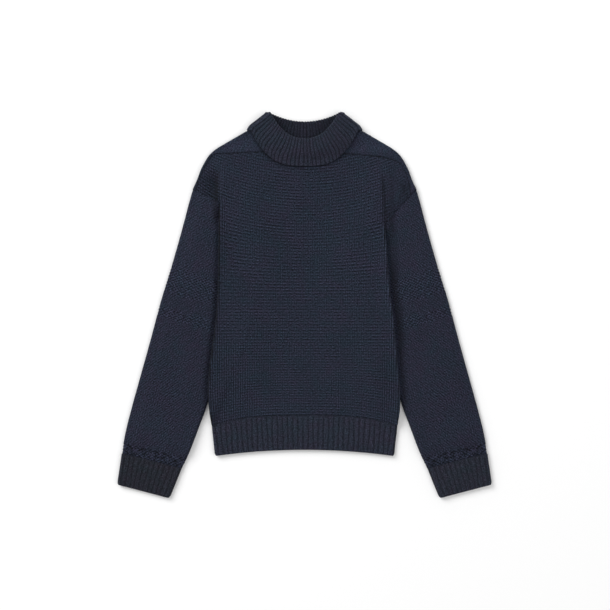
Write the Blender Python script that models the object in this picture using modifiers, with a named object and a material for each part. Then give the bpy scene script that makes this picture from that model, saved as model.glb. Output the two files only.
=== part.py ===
"""Turtleneck sweater lying flat on a surface, arms folded down beside and under the body.

Metres. The wearer's up is +Y, the width is X, and the cloth is stacked in +Z from the surface
at z = 0. Each knitted piece is an open surface through the middle of its cloth, thickened evenly
to a wall. Left and right are as seen from above.
"""
import math
from collections import namedtuple

import bpy

# ---------------------------------------------------------------- driving dimensions
KNIT_WALL = 0.003        # plain knitted cloth
RIB_WALL = 0.0035        # ribbed cloth
SEAM_GAP = 0.0003        # between two pieces at a seam
LAY_GAP = 0.0010         # between layers that lie on each other
FOLD_RADIUS = 0.0022     # middle of the cloth where a side folds over
FOLD_FLAT = 0.0012       # upright stretch in the middle of that fold
SIDE_FOLD_FADE = 0.025   # height over which a side's fold fades below the covered armhole
CREASE = 0.008           # how far a fold's roundness reaches across the top layer

NECK_HALF = 0.084        # half the width between the neck points
NECK_POINT_Y = 0.329
FRONT_NECK_DROP = 0.060
BACK_NECK_DROP = 0.028
NECK_POWER = 2.5         # how square the neckline is: 2 is a plain arch

HEM_SEAM_Y = -0.223      # at the sides; the seam arches up in the middle
HEM_SEAM_ARCH = 0.019
HEM_SEAM_POWER = 3       # how flat the middle of that arch is
HEM_EDGE_Y = -0.279
HEM_EDGE_ARCH = 0.0115
HEM_TOP_HALF = 0.1714
HEM_SEAM_HALF = 0.1697   # the middle of the panels' cloth there
HEM_LOW_HALF = 0.1655

TUCK_PLATEAU = 0.010     # the raised body reaches this far past the tucked sleeve
TUCK_RAMP = 0.020
ARMHOLE_GAP = 0.0018     # in plan, because the cloth slopes where it crosses the armhole seam
NECK_SEAM_RISE = 0.0022  # the same at the neck seam
FRONT_CREASE = 0.055     # how far the crease at the body's side runs up the front
CREASE_SIDE = 0.019      # how far the step at that crease spreads towards the armhole
UNEVEN = 0.0001          # the back panel is clear of the surface by this, as it isn't quite even
CREASE_SHARE = 0.4       # how much of the sleeve's height that crease has on the front

COLLAR_CORNER_Y = 0.3245
BACK_TURN_DROP = 0.037
NECK_RAMP = 0.026        # the back panel climbs over the turned-down back within this
NECK_RAMP_CLEAR = 0.004  # and is up this far before it
NECK_RAMP_SIDE = 0.0364  # beside it, the climb starts this far out

COLLECTION = "turtleneck_sweater"

# ---------------------------------------------------------------- tables
# Sides of the body from the hem seam up: distance from the centre line on each side.
Side = namedtuple("Side", "y left right")
BODY_SIDE = (
    Side(-0.290, 0.1640, 0.1640),
    Side(-0.223, 0.1712, 0.1712),
    Side(-0.194, 0.1755, 0.1752),
    Side(-0.160, 0.1778, 0.1755),
    Side(-0.111, 0.1744, 0.1713),
    Side(-0.063, 0.1680, 0.1670),
    Side(-0.028, 0.1636, 0.1640),
    Side(0.007, 0.1606, 0.1590),
    Side(0.060, 0.1592, 0.1540),
    Side(0.130, 0.1580, 0.1495),
    Side(0.190, 0.1570, 0.1470),
)
# Outer edge of the sleeves and of the shoulders, and the tucked inner edge of the sleeves.
Edge = namedtuple("Edge", "y reach")
OUTER_EDGE = (
    Edge(-0.280, 0.3372), Edge(-0.256, 0.3345), Edge(-0.233, 0.3302), Edge(-0.194, 0.3204),
    Edge(-0.139, 0.3052), Edge(-0.065, 0.2846), Edge(0.009, 0.2648), Edge(0.082, 0.2425),
    Edge(0.119, 0.2319), Edge(0.156, 0.2218), Edge(0.193, 0.2120), Edge(0.212, 0.2063),
    Edge(0.230, 0.1980), Edge(0.249, 0.1909), Edge(0.267, 0.1813), Edge(0.277, 0.1738),
    Edge(0.286, 0.1630), Edge(0.295, 0.1482), Edge(0.303, 0.1346), Edge(0.310, 0.1222),
    Edge(0.3175, 0.1084), Edge(0.329, 0.0840),
)
INNER_EDGE = (
    Edge(-0.304, 0.2262), Edge(-0.266, 0.2090), Edge(-0.233, 0.1965), Edge(-0.194, 0.1819),
    Edge(-0.180, 0.1773), Edge(-0.117, 0.1524), Edge(-0.047, 0.1265), Edge(0.027, 0.1085),
    Edge(0.095, 0.1010), Edge(0.165, 0.1007),
)
# Where each armhole seam leaves the outer edge, where the body's side covers it, and its hidden end.
Armhole = namedtuple("Armhole", "corner_x corner_y notch_x notch_y end_x end_y")
ARMHOLE = {
    "left": Armhole(0.2063, 0.212, 0.1575, 0.189, 0.1007, 0.1622),
    "right": Armhole(0.2063, 0.212, 0.1485, 0.149, 0.1007, 0.0969),
}
# Over each shoulder: a point on the outer edge, and the seam's point that it leads to.
Rung = namedtuple("Rung", "edge_x edge_y left_x left_y right_x right_y")
SHOULDER = (
    Rung(0.2063, 0.2120, 0.2010, 0.2120, 0.1955, 0.2120),
    Rung(0.1980, 0.2300, 0.1930, 0.2310, 0.1905, 0.2300),
    Rung(0.1909, 0.2490, 0.1862, 0.2490, 0.1845, 0.2450),
    Rung(0.1813, 0.2670, 0.1765, 0.2650, 0.1780, 0.2570),
    Rung(0.1738, 0.2770, 0.1670, 0.2775, 0.1705, 0.2635),
    Rung(0.1630, 0.2860, 0.1560, 0.2780, 0.1560, 0.2677),
    Rung(0.1482, 0.2950, 0.1390, 0.2787, 0.1390, 0.2725),
    Rung(0.1346, 0.3030, 0.1200, 0.2797, 0.1200, 0.2742),
    Rung(0.1222, 0.3100, 0.1010, 0.2807, 0.1010, 0.2759),
    Rung(0.1084, 0.3175, 0.0800, 0.2818, 0.0800, 0.2778),
    Rung(0.0840, 0.3290, 0.0490, 0.2835, 0.0450, 0.2810),
)
# Rings of the collar from the neck seam up the stand, over the fold and down to the free edge:
# half width, height of its ends, drops of its front and back from there, and the share of the
# way from one end of the stand or the turned-down half to the other.
Ring = namedtuple("Ring", "half side_y front_drop back_drop rise")
STAND = (
    Ring(0.0825, 0.3320, 0.0628, 0.0310, 0.0),
    Ring(0.0790, 0.3350, 0.0560, 0.0250, 0.25),
    Ring(0.0740, 0.3420, 0.0520, 0.0205, 0.6),
    Ring(0.0685, 0.3500, 0.0482, 0.0160, 1.0),
)
TURNED = (
    Ring(0.0685, 0.3500, 0.0482, 0.0160, 0.0),
    Ring(0.0752, 0.3450, 0.0550, 0.0210, 0.25),
    Ring(0.0855, 0.3370, 0.0590, 0.0270, 0.5),
    Ring(0.0948, 0.3300, 0.0640, 0.0320, 0.78),
    Ring(0.1010, 0.3245, 0.0695, 0.0370, 1.0),
)
COLLAR_FOLD_TURNS = (45, 90, 135)   # degrees round the fold at the collar's top
STAND_FRONT_Z = 0.0158              # middle of the stand's cloth at the fold, front and back
STAND_BACK_Z = 0.00605

# Colours of the cloth, linear.
NAVY = (0.021, 0.025, 0.039, 1.0)
NAVY_RIB = (0.020, 0.023, 0.036, 1.0)

# ---------------------------------------------------------------- worked-out levels
BACK_Z = KNIT_WALL / 2 + UNEVEN           # middle of the back panel's cloth on the surface
STACK = KNIT_WALL + LAY_GAP               # from one layer's middle to the next
RIB_STACK = RIB_WALL + LAY_GAP
EDGE_STACK = 2 * FOLD_RADIUS + FOLD_FLAT  # the same at a folded side
TUCK_LIFT = 2 * STACK + LAY_GAP / 3       # the body over a tucked sleeve
NECK_LIFT = RIB_STACK                     # the back panel over the collar's turned-down back


# ---------------------------------------------------------------- curves and fields
def smooth(t):
    """Eases from 0 at t = 0 to 1 at t = 1, and stays there outside."""
    t = min(max(t, 0.0), 1.0)
    return t * t * (3 - 2 * t)


def along(rows, y, column):
    """A column of a table at height y, on straight lines between its rows in rising y."""
    if y <= rows[0].y:
        return getattr(rows[0], column)
    for low, high in zip(rows, rows[1:]):
        if y <= high.y:
            share = (y - low.y) / (high.y - low.y)
            return getattr(low, column) * (1 - share) + getattr(high, column) * share
    return getattr(rows[-1], column)


def side_of(x):
    return "left" if x < 0 else "right"


def neck_y(x, drop):
    """Height of the neckline at x for a front or back that is cut down by drop."""
    return NECK_POINT_Y - drop * (1 - min(abs(x) / NECK_HALF, 1) ** NECK_POWER)


def armhole_reach(hole, y):
    """Distance of the armhole seam from the centre line at height y."""
    share = (y - hole.notch_y) / (hole.corner_y - hole.notch_y)
    return hole.notch_x + (hole.corner_x - hole.notch_x) * share


def above_armhole(hole, x, y):
    """How far a point is above the line of the armhole seam."""
    run, climb = hole.corner_x - hole.end_x, hole.corner_y - hole.end_y
    return ((y - hole.end_y) * run - (abs(x) - hole.end_x) * climb) / math.hypot(run, climb)


def tuck_lift(x, y, reach_up):
    """Height that the tucked sleeve gives the body; it fades over reach_up above the armhole."""
    side = side_of(x)
    hole = ARMHOLE[side]
    inside = abs(x) - along(INNER_EDGE, y, "reach") + TUCK_PLATEAU + TUCK_RAMP
    across = smooth(inside / TUCK_RAMP)
    up = smooth(1 - (above_armhole(hole, x, y) - CREASE_SIDE / 2) / reach_up)
    past_side = abs(x) - along(BODY_SIDE, y, side)
    wing = smooth(1 - past_side / CREASE_SIDE)
    return TUCK_LIFT * across * up * wing


def neck_lift(x, y):
    """Height that the collar's turned-down back gives the back panel."""
    drop = BACK_TURN_DROP * (1 - min(abs(x) / TURNED[-1].half, 1) ** NECK_POWER)
    up = smooth((y - COLLAR_CORNER_Y + drop + NECK_RAMP + NECK_RAMP_CLEAR) / NECK_RAMP)
    across = smooth((TURNED[-1].half + NECK_RAMP_SIDE - abs(x)) / NECK_RAMP)
    return NECK_LIFT * up * across


def back_z(x, y):
    """Middle of the back panel's cloth."""
    return BACK_Z + tuck_lift(x, y, TUCK_RAMP) + neck_lift(x, y)


def side_fold(side, y):
    """How far the body's side is folded at height y: 1 below the armhole, 0 at its covered end."""
    return smooth((ARMHOLE[side].notch_y - y) / SIDE_FOLD_FADE)


def edge_roundness(x, y):
    """How far a folded edge next to a point rounds the top layer up, from 0 to 1."""
    side = side_of(x)
    to_outer = along(OUTER_EDGE, y, "reach") - abs(x)
    to_body = along(BODY_SIDE, y, side) - abs(x)
    return max(math.exp(-(to_outer / CREASE) ** 2),
               math.exp(-(to_body / CREASE) ** 2) * side_fold(side, y))


SLOPE_STEP = 0.002


def front_z(x, y):
    """Middle of the top layer's cloth, which lies on the back panel."""
    slope_x = (back_z(x + SLOPE_STEP, y) - back_z(x - SLOPE_STEP, y)) / (2 * SLOPE_STEP)
    slope_y = (back_z(x, y + SLOPE_STEP) - back_z(x, y - SLOPE_STEP)) / (2 * SLOPE_STEP)
    steep = math.sqrt(1 + slope_x ** 2 + slope_y ** 2)
    crease = tuck_lift(x, y, FRONT_CREASE) - tuck_lift(x, y, TUCK_RAMP)
    round_edge = (EDGE_STACK - STACK) * edge_roundness(x, y)
    return back_z(x, y) + STACK * steep + CREASE_SHARE * crease + round_edge


# ---------------------------------------------------------------- meshes
def grid_faces(rows, columns, closed):
    """Quads of a grid of points, given row by row; closed joins its last column to its first."""
    last = columns if closed else columns - 1
    faces = []
    for i in range(rows - 1):
        for j in range(last):
            k = (j + 1) % columns
            faces.append((i * columns + j, i * columns + k,
                          (i + 1) * columns + k, (i + 1) * columns + j))
    return faces


def cloth(name, points, faces, wall, colour, collection):
    """An object of the surface through the middle of the cloth, with its wall."""
    mesh = bpy.data.meshes.new(name)
    mesh.from_pydata(points, [], faces)
    mesh.validate()
    mesh.shade_smooth()
    piece = bpy.data.objects.new(name, mesh)
    collection.objects.link(piece)
    thicken = piece.modifiers.new("wall", "SOLIDIFY")
    thicken.thickness = wall
    thicken.offset = 0.0
    thicken.use_even_offset = True
    thicken.use_quality_normals = True
    mesh.materials.append(knit_material(name, colour))
    return piece


def knit_material(name, colour):
    material = bpy.data.materials.new(name)
    material.use_nodes = True
    shader = material.node_tree.nodes["Principled BSDF"]
    shader.inputs["Base Color"].default_value = colour
    shader.inputs["Roughness"].default_value = 0.9
    shader.inputs["Metallic"].default_value = 0.0
    return material


# ---------------------------------------------------------------- panels
# Columns from the centre line to a folded side: shares of the flat width, then the fold's points
# as degrees round it and the share of its upright stretch that is passed.
FLAT_SHARES = (0.0, 0.25, 0.46, 0.61, 0.73, 0.83, 0.92, 1.0)
FLAT_INSET = 0.0085
FOLD_POINTS = ((0, 0.0), (45, 0.0), (90, 0.0), (90, 1.0))
LOWER_SHARES = (0.0, 0.08, 0.2, 0.33, 0.46, 0.58, 0.68, 0.76, 0.81, 0.845, 0.88, 0.91, 0.94, 0.97, 1.0)
UPPER_ROWS_TO_CORNER = 3

CORNER_POWER = 3                 # how late the back's edge curls up towards the armhole's corner
STRIP_SHARES = (0.4, 0.7, 1.0)   # lines of a shoulder's strip, from its fold to the front seam
SEAM_RUNG = 4                    # the front panel's last row ends at this rung of the shoulder
CROWN_POWER = 1.5                # how late its rows bend to the neckline and the shoulder seams


def fold_offset(degrees, upright):
    """Inset from the edge and rise from the layer of a point on the lower half of a fold."""
    angle = math.radians(degrees)
    half_flat = (FOLD_FLAT - SEAM_GAP) / 2
    return FOLD_RADIUS * (1 - math.sin(angle)), FOLD_RADIUS * (1 - math.cos(angle)) + half_flat * upright


def half_columns(reach):
    """(distance from the centre line, rise at a folded side) from the centre line out."""
    flat = [((reach - FLAT_INSET) * share, 0.0) for share in FLAT_SHARES]
    return flat + [(reach - inset, rise) for inset, rise in
                   (fold_offset(*point) for point in FOLD_POINTS)]


def panel_row(left_reach, right_reach, height, level, left_curl, right_curl, direction):
    """Points of one row across a panel. height and level give y from the signed share of the
    reach and z from the place; curl says how much of the fold each side has, and direction
    turns it up (1) or down (-1)."""
    row = []
    for reach, curl, sign in ((left_reach, left_curl, -1), (right_reach, right_curl, 1)):
        half = []
        for out, rise in half_columns(reach):
            x = sign * out
            y = height(sign * out / reach)
            half.append((x, y, level(x, y) + direction * curl * rise))
        row += half[:0:-1] if sign < 0 else half
    return row


def hem_seam_y(share):
    return HEM_SEAM_Y + HEM_SEAM_ARCH * (1 - abs(share) ** HEM_SEAM_POWER)


def between_sides(left, right, share):
    return left + (right - left) * (share + 1) / 2


def lower_rows(level, direction):
    """Rows of a panel from the hem seam to the heights where the armhole seams are covered."""
    left, right = ARMHOLE["left"], ARMHOLE["right"]
    rows = []
    for share_up in LOWER_SHARES:
        def height(share, share_up=share_up):
            low = hem_seam_y(share) + 2 * SEAM_GAP
            return low + share_up * (between_sides(left.notch_y, right.notch_y, share) - low)

        reaches = [along(BODY_SIDE, height(sign), side) - KNIT_WALL / 2
                   for sign, side in ((-1, "left"), (1, "right"))]
        curls = [side_fold(side, height(sign)) for sign, side in ((-1, "left"), (1, "right"))]
        rows.append(panel_row(*reaches, height, level, *curls, direction))
    return rows


def wing_rows(level, direction):
    """Rows from there along the armhole seams to their corners, where the fold of the
    shoulder begins."""
    left, right = ARMHOLE["left"], ARMHOLE["right"]
    rows = []
    for i in range(1, UPPER_ROWS_TO_CORNER + 1):
        share_up = i / UPPER_ROWS_TO_CORNER
        sides = [hole.notch_y + share_up * (hole.corner_y - hole.notch_y)
                 for hole in (left, right)]

        def height(share, sides=sides):
            return between_sides(*sides, share)

        reaches = [armhole_reach(hole, y) for hole, y in ((left, sides[0]), (right, sides[1]))]
        curl = share_up ** CORNER_POWER
        rows.append(panel_row(*reaches, height, level, curl, curl, direction))
    return rows


def back_panel(collection):
    """The back, one layer on the surface, and its strips over the shoulders to the front seam."""
    shoulder_rows = len(SHOULDER) - 1

    def sag(share):
        return 1 - abs(share) ** NECK_POWER

    rows = lower_rows(back_z, 1)
    rows += wing_rows(back_z, 1)
    rows.pop()
    first_rung = len(rows)
    for i, rung in enumerate(SHOULDER):
        drop = BACK_NECK_DROP * (i / shoulder_rows) ** 2

        def height(share, rung=rung, drop=drop):
            return rung.edge_y - drop * sag(share)

        reach = rung.edge_x - KNIT_WALL / 2
        rows.append(panel_row(reach, reach, height, back_z, 1, 1, 1))
    columns = len(rows[0])
    points = [point for row in rows for point in row]
    faces = grid_faces(len(rows), columns, False)
    for sign, side in ((-1, "left"), (1, "right")):
        edge = 0 if sign < 0 else columns - 1
        before = [(first_rung + i) * columns + edge for i in range(len(SHOULDER))]
        for strip_row in shoulder_strip(side, sign):
            here = range(len(points), len(points) + len(strip_row))
            points += strip_row
            for i in range(len(strip_row) - 1):
                quad = (before[i], here[i], here[i + 1], before[i + 1])
                faces.append(quad if sign > 0 else quad[::-1])
            before = list(here)
    return cloth("back_panel", points, faces, KNIT_WALL, NAVY, collection)


def shoulder_strip(side, sign):
    """Lines along the shoulder's fold, from the upper half of the fold in to the front seam."""
    lines = []
    upper_fold = [point for point in reversed(FOLD_POINTS) if point[1] == 0.0]
    for degrees, _ in upper_fold:
        inset, rise = fold_offset(degrees, 0.0)
        lines.append([strip_point(rung, side, sign, inset, 0.0, -rise) for rung in SHOULDER])
    for share in STRIP_SHARES:
        lines.append([strip_point(rung, side, sign, FOLD_RADIUS, share, 0.0) for rung in SHOULDER])
    return lines


def strip_point(rung, side, sign, inset, share, drop):
    """A point inset from the edge, or the share of the way from there to the seam."""
    seam_x, seam_y = getattr(rung, side + "_x"), getattr(rung, side + "_y")
    if rung is SHOULDER[-1]:
        seam_y = neck_y(seam_x, FRONT_NECK_DROP)
    edge_x = rung.edge_x - KNIT_WALL / 2
    run_x, run_y = seam_x - edge_x, seam_y - rung.edge_y
    length = math.hypot(run_x, run_y)
    way = (inset + share * (length - inset - SEAM_GAP)) / length
    x, y = edge_x + run_x * way, rung.edge_y + run_y * way
    if rung is SHOULDER[-1]:
        y = max(y, neck_y(x, FRONT_NECK_DROP)) if share < 1 else y
    return sign * x, y, front_z(sign * x, y) + drop


def front_panel(collection):
    """The front, from the hem seam to the forward shoulder seams and the neckline."""
    seams = {"left": [], "right": []}
    for rung in SHOULDER[SEAM_RUNG:]:
        seams["left"].append(Edge(rung.left_y, rung.left_x))
        seams["right"].append(Edge(rung.right_y, rung.right_x))

    def top_y(x):
        line = seams[side_of(x)]
        reach = abs(x)
        if reach <= line[-1].reach:
            return neck_y(x, FRONT_NECK_DROP)
        for outer, inner in zip(line, line[1:]):
            if reach >= inner.reach:
                share = (reach - inner.reach) / (outer.reach - inner.reach)
                return inner.y + (outer.y - inner.y) * min(share, 1)
        return line[0].y

    top_half = {side: seams[side][0].reach for side in seams}

    def crown(share):
        x = share * top_half[side_of(share)]
        return top_y(x) - SEAM_GAP - between_sides(seams["left"][0].y, seams["right"][0].y, share)

    rows = lower_rows(front_z, -1)
    wing = []
    left, right = ARMHOLE["left"], ARMHOLE["right"]
    for i in range(1, UPPER_ROWS_TO_CORNER + 1):
        share_up = i / UPPER_ROWS_TO_CORNER
        wing.append((left.notch_y + share_up * (left.corner_y - left.notch_y),
                     right.notch_y + share_up * (right.corner_y - right.notch_y)))
    heights = wing + [(rung.left_y, rung.right_y) for rung in SHOULDER[1:SEAM_RUNG + 1]]
    for i, (left_y, right_y) in enumerate(heights, 1):
        share_up = (i / len(heights)) ** CROWN_POWER
        if i <= UPPER_ROWS_TO_CORNER:
            reaches = [armhole_reach(left, left_y), armhole_reach(right, right_y)]
            if i == UPPER_ROWS_TO_CORNER:
                reaches = [SHOULDER[0].left_x - SEAM_GAP, SHOULDER[0].right_x - SEAM_GAP]
        else:
            rung = SHOULDER[i - UPPER_ROWS_TO_CORNER]
            reaches = [rung.left_x - SEAM_GAP, rung.right_x - SEAM_GAP]

        def height(share, left_y=left_y, right_y=right_y, share_up=share_up):
            return between_sides(left_y, right_y, share) + share_up * crown(share)

        rows.append(panel_row(*reaches, height, front_z, 0, 0, -1))
    points = [point for row in rows for point in row]
    faces = grid_faces(len(rows), len(rows[0]), False)
    return cloth("front_panel", points, faces, KNIT_WALL, NAVY, collection)


# ---------------------------------------------------------------- tubes
RingSection = namedtuple("RingSection", "start end outer_stack inner_stack")
ARC_DEGREES = (45, 90, 135)


def flat_tube_ring(section, wall, stack, shares):
    """Points round a tube that lies flat between two edge points in plan. Its lower layer is on
    the surface; its upper one is a stack above it, and swells to the stack given at each edge."""
    (ax, ay), (bx, by) = section.start, section.end
    length = math.hypot(bx - ax, by - ay)
    along_x, along_y = (bx - ax) / length, (by - ay) / length
    start_r, end_r = section.outer_stack / 2, section.inner_stack / 2
    inner_from, inner_to = wall / 2 + start_r, length - wall / 2 - end_r
    low = wall / 2

    def place(distance, z):
        return ax + along_x * distance, ay + along_y * distance, z

    def top(distance):
        swell_start = (section.outer_stack - stack) * math.exp(-((distance - inner_from) / CREASE) ** 2)
        swell_end = (section.inner_stack - stack) * math.exp(-((inner_to - distance) / CREASE) ** 2)
        return low + stack + swell_start + swell_end

    flat = [inner_from + (inner_to - inner_from) * share for share in shares]
    ring = [place(distance, low) for distance in flat]
    for degrees in ARC_DEGREES:
        angle = math.radians(degrees)
        ring.append(place(inner_to + end_r * math.sin(angle), low + end_r * (1 - math.cos(angle))))
    ring += [place(distance, top(distance)) for distance in reversed(flat)]
    for degrees in ARC_DEGREES:
        angle = math.radians(degrees)
        ring.append(place(inner_from - start_r * math.sin(angle),
                          low + start_r * (1 + math.cos(angle))))
    return ring


def tube(name, sections, wall, stack, shares, colour, collection, flip):
    rings = [flat_tube_ring(section, wall, stack, shares) for section in sections]
    points = [point for ring in rings for point in ring]
    faces = grid_faces(len(rings), len(rings[0]), True)
    if flip:
        faces = [face[::-1] for face in faces]
    return cloth(name, points, faces, wall, colour, collection)


SLEEVE_SECTIONS = 14
SLEEVE_SHARES = (0.0, 0.12, 0.3, 0.5, 0.7, 0.88, 1.0)
TUCKED_STACK = STACK + 0.0003    # the sleeve's hidden edge, pressed flat under the body
SLEEVE_OUT_Y = -0.200            # below this the sleeve's inner edge comes out from under the body
SLEEVE_OUT_FADE = 0.030
CUFF_TOP = ((0.3372, -0.2742), (0.2262, -0.3020))
CUFF_LOW = ((0.3455, -0.3314), (0.2485, -0.3568))
# Shares of the way down a cuff or the hem rib, and how far its corners are rounded in there.
RIB_SECTIONS = ((0.0, 0.0), (0.5, 0.0), (0.88, 0.0), (1.0, 0.0022))
HEM_COLUMNS = 12


def mirrored(sign, point):
    return sign * point[0], point[1]


def sleeve(side, sign, collection):
    """A tube from the armhole seam to the cuff, its inner part tucked flat under the body."""
    hole = ARMHOLE[side]
    outer_low, inner_low = CUFF_TOP
    sections = []
    for i in range(SLEEVE_SECTIONS):
        share = i / (SLEEVE_SECTIONS - 1)
        outer_y = (hole.corner_y - ARMHOLE_GAP) * (1 - share) + outer_low[1] * share
        inner_y = (hole.end_y - ARMHOLE_GAP) * (1 - share) + inner_low[1] * share
        outer = (along(OUTER_EDGE, outer_y, "reach"), outer_y)
        inner = (along(INNER_EDGE, inner_y, "reach"), inner_y)
        free = smooth((SLEEVE_OUT_Y - inner_y) / SLEEVE_OUT_FADE)
        inner_stack = TUCKED_STACK + (EDGE_STACK - TUCKED_STACK) * free
        sections.append(RingSection(mirrored(sign, outer), mirrored(sign, inner),
                                    EDGE_STACK, inner_stack))
    return tube("sleeve_" + side, sections, KNIT_WALL, STACK, SLEEVE_SHARES, NAVY, collection,
                sign > 0)


def cuff(side, sign, collection):
    """A short rib tube at the sleeve's end, a little rounded at its free corners."""
    sections = []
    for share, pinch in RIB_SECTIONS:
        ends = []
        for top, low, towards in zip(CUFF_TOP, CUFF_LOW, (-1, 1)):
            x = top[0] + (low[0] - top[0]) * share + towards * pinch
            y = top[1] - SEAM_GAP + (low[1] - top[1] + SEAM_GAP) * share
            ends.append(mirrored(sign, (x, y)))
        sections.append(RingSection(*ends, EDGE_STACK, EDGE_STACK))
    return tube("cuff_" + side, sections, RIB_WALL, RIB_STACK, SLEEVE_SHARES, NAVY_RIB, collection,
                sign > 0)


def hem_rib(collection):
    """The rib tube below the hem seam, arched like it."""
    shares = [i / HEM_COLUMNS for i in range(HEM_COLUMNS + 1)]
    rings = []
    for share, pinch in RIB_SECTIONS:
        half = HEM_TOP_HALF + (HEM_LOW_HALF - HEM_TOP_HALF) * share - pinch
        ring = flat_tube_ring(RingSection((-half, 0.0), (half, 0.0), EDGE_STACK, EDGE_STACK),
                              RIB_WALL, RIB_STACK, shares)
        bent = []
        for x, _, z in ring:
            top = hem_seam_y(min(abs(x) / HEM_SEAM_HALF, 1))
            low = HEM_EDGE_Y + HEM_EDGE_ARCH * (1 - (x / half) ** 2)
            bent.append((x, top + (low - top) * share, z))
        rings.append(bent)
    points = [point for ring in rings for point in ring]
    faces = grid_faces(len(rings), len(rings[0]), True)
    return cloth("hem_rib", points, faces, RIB_WALL, NAVY_RIB, collection)


# ---------------------------------------------------------------- collar
RUN_SHARES = (0.0, 0.1, 0.25, 0.42, 0.58, 0.75, 0.9, 1.0)
COLLAR_POWER_FRONT = 2.4
COLLAR_POWER_BACK = 2.0
REST_ON_PANEL = (KNIT_WALL + RIB_WALL) / 2 + LAY_GAP


def collar_ring(ring, z_front, z_back, tip=0.0, spread=0.0):
    """Points round the collar: over the front from left to right, then under the back. tip moves
    the ring up the collar, and spread moves it out from the neck's hollow."""
    half = ring.half + spread
    end_front, end_back = z_front(half, ring.side_y), z_back(half, ring.side_y)
    radius = (end_front - end_back) / 2 + spread
    middle = (end_front + end_back) / 2
    straight = half - radius

    def place(x, front):
        drop = ring.front_drop if front else ring.back_drop
        power = COLLAR_POWER_FRONT if front else COLLAR_POWER_BACK
        return ring.side_y - drop * (1 - min(abs(x) / straight, 1) ** power) + tip

    points = []
    for share in RUN_SHARES:
        x = straight * (2 * share - 1)
        y = place(x, True)
        points.append((x, y, z_front(x, y) + spread))
    for degrees in ARC_DEGREES:
        angle = math.radians(degrees)
        x = straight + radius * math.sin(angle)
        points.append((x, place(x, degrees < 90), middle + radius * math.cos(angle)))
    for share in reversed(RUN_SHARES):
        x = straight * (2 * share - 1)
        y = place(x, False)
        points.append((x, y, z_back(x, y) - spread))
    for degrees in ARC_DEGREES:
        angle = math.radians(degrees)
        x = -straight - radius * math.sin(angle)
        points.append((x, place(x, degrees > 90), middle - radius * math.cos(angle)))
    return points


def collar(collection):
    """One rib tube: the stand rises from the neck seam, and its upper half is folded down."""
    fold_r = RIB_STACK / 2
    turned_front_z, turned_back_z = STAND_FRONT_Z + RIB_STACK, RIB_WALL / 2
    rings = []
    for ring in STAND:
        def z_front(x, y, rise=ring.rise):
            lying = front_z(x, y) + (RIB_WALL - KNIT_WALL)
            return lying + (STAND_FRONT_Z - lying) * smooth(rise)

        def z_back(x, y, rise=ring.rise):
            seam_z = back_z(x, neck_y(x, BACK_NECK_DROP))
            return seam_z + (STAND_BACK_Z - seam_z) * rise

        rings.append(collar_ring(ring, z_front, z_back, NECK_SEAM_RISE * (1 - ring.rise)))
    for degrees in COLLAR_FOLD_TURNS:
        angle = math.radians(degrees)
        rings.append(collar_ring(STAND[-1], lambda x, y: STAND_FRONT_Z, lambda x, y: STAND_BACK_Z,
                                 fold_r * math.sin(angle), fold_r * (1 - math.cos(angle))))
    for ring in TURNED:
        def z_front(x, y, rise=ring.rise):
            lying = front_z(x, y) + REST_ON_PANEL
            return turned_front_z + (lying - turned_front_z) * smooth(rise)

        rings.append(collar_ring(ring._replace(half=ring.half + RIB_STACK), z_front,
                                 lambda x, y: turned_back_z))
    points = [point for ring in rings for point in ring]
    faces = grid_faces(len(rings), len(rings[0]), True)
    return cloth("collar", points, faces, RIB_WALL, NAVY_RIB, collection)


def main():
    for thing in list(bpy.data.objects):
        bpy.data.objects.remove(thing, do_unlink=True)
    collection = bpy.data.collections.new(COLLECTION)
    bpy.context.scene.collection.children.link(collection)
    back_panel(collection)
    front_panel(collection)
    hem_rib(collection)
    collar(collection)
    for sign, side in ((-1, "left"), (1, "right")):
        sleeve(side, sign, collection)
        cuff(side, sign, collection)


main()
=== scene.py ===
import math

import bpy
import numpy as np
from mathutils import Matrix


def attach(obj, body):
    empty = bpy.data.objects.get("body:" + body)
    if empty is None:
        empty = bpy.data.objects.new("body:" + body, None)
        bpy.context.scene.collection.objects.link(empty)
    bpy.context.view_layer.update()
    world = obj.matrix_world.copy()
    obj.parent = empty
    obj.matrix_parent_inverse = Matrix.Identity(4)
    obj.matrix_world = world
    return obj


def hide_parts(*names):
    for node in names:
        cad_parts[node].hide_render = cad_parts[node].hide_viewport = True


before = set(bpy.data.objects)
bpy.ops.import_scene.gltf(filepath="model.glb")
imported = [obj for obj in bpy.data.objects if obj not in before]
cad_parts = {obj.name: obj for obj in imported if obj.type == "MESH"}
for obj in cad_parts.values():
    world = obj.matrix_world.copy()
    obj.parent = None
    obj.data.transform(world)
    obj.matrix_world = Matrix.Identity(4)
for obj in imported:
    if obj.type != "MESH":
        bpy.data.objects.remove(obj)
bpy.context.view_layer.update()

# %% [markdown]
# # A knitted turtleneck, laid flat
#
# The real sweater is knitted in thick worsted wool: two body panels, two sleeves and four ribs.
# It lies on a table with its arms folded down, seen from straight above.
#
# The frame that has just been loaded holds the garment's plain solids. They stay as they are
# for the physics. Every one of them is hidden here by a finer piece of cloth that follows the
# same sizes, because a knit needs soft edges, ribs and stitches that a plain solid can't show.

# %% [markdown]
# ## Table, light and camera
#
# A garment for a shop page is laid on a white table, under big soft lamps, with the camera on a
# stand above it. One large lamp at the upper left gives the folds their shape. A white sky
# fills the rest, so that the shadows stay soft and short.
#
# The camera looks straight down. A long lens is used from far away, because then the raised
# collar isn't drawn bigger than the hem.

# %% table
TABLE_HALF = 4.0
TABLE_Z = -0.0003                  # a hair below the cloth
TABLE_COLOUR = (0.93, 0.93, 0.93, 1.0)
TABLE_ROUGHNESS = 0.6


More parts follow.
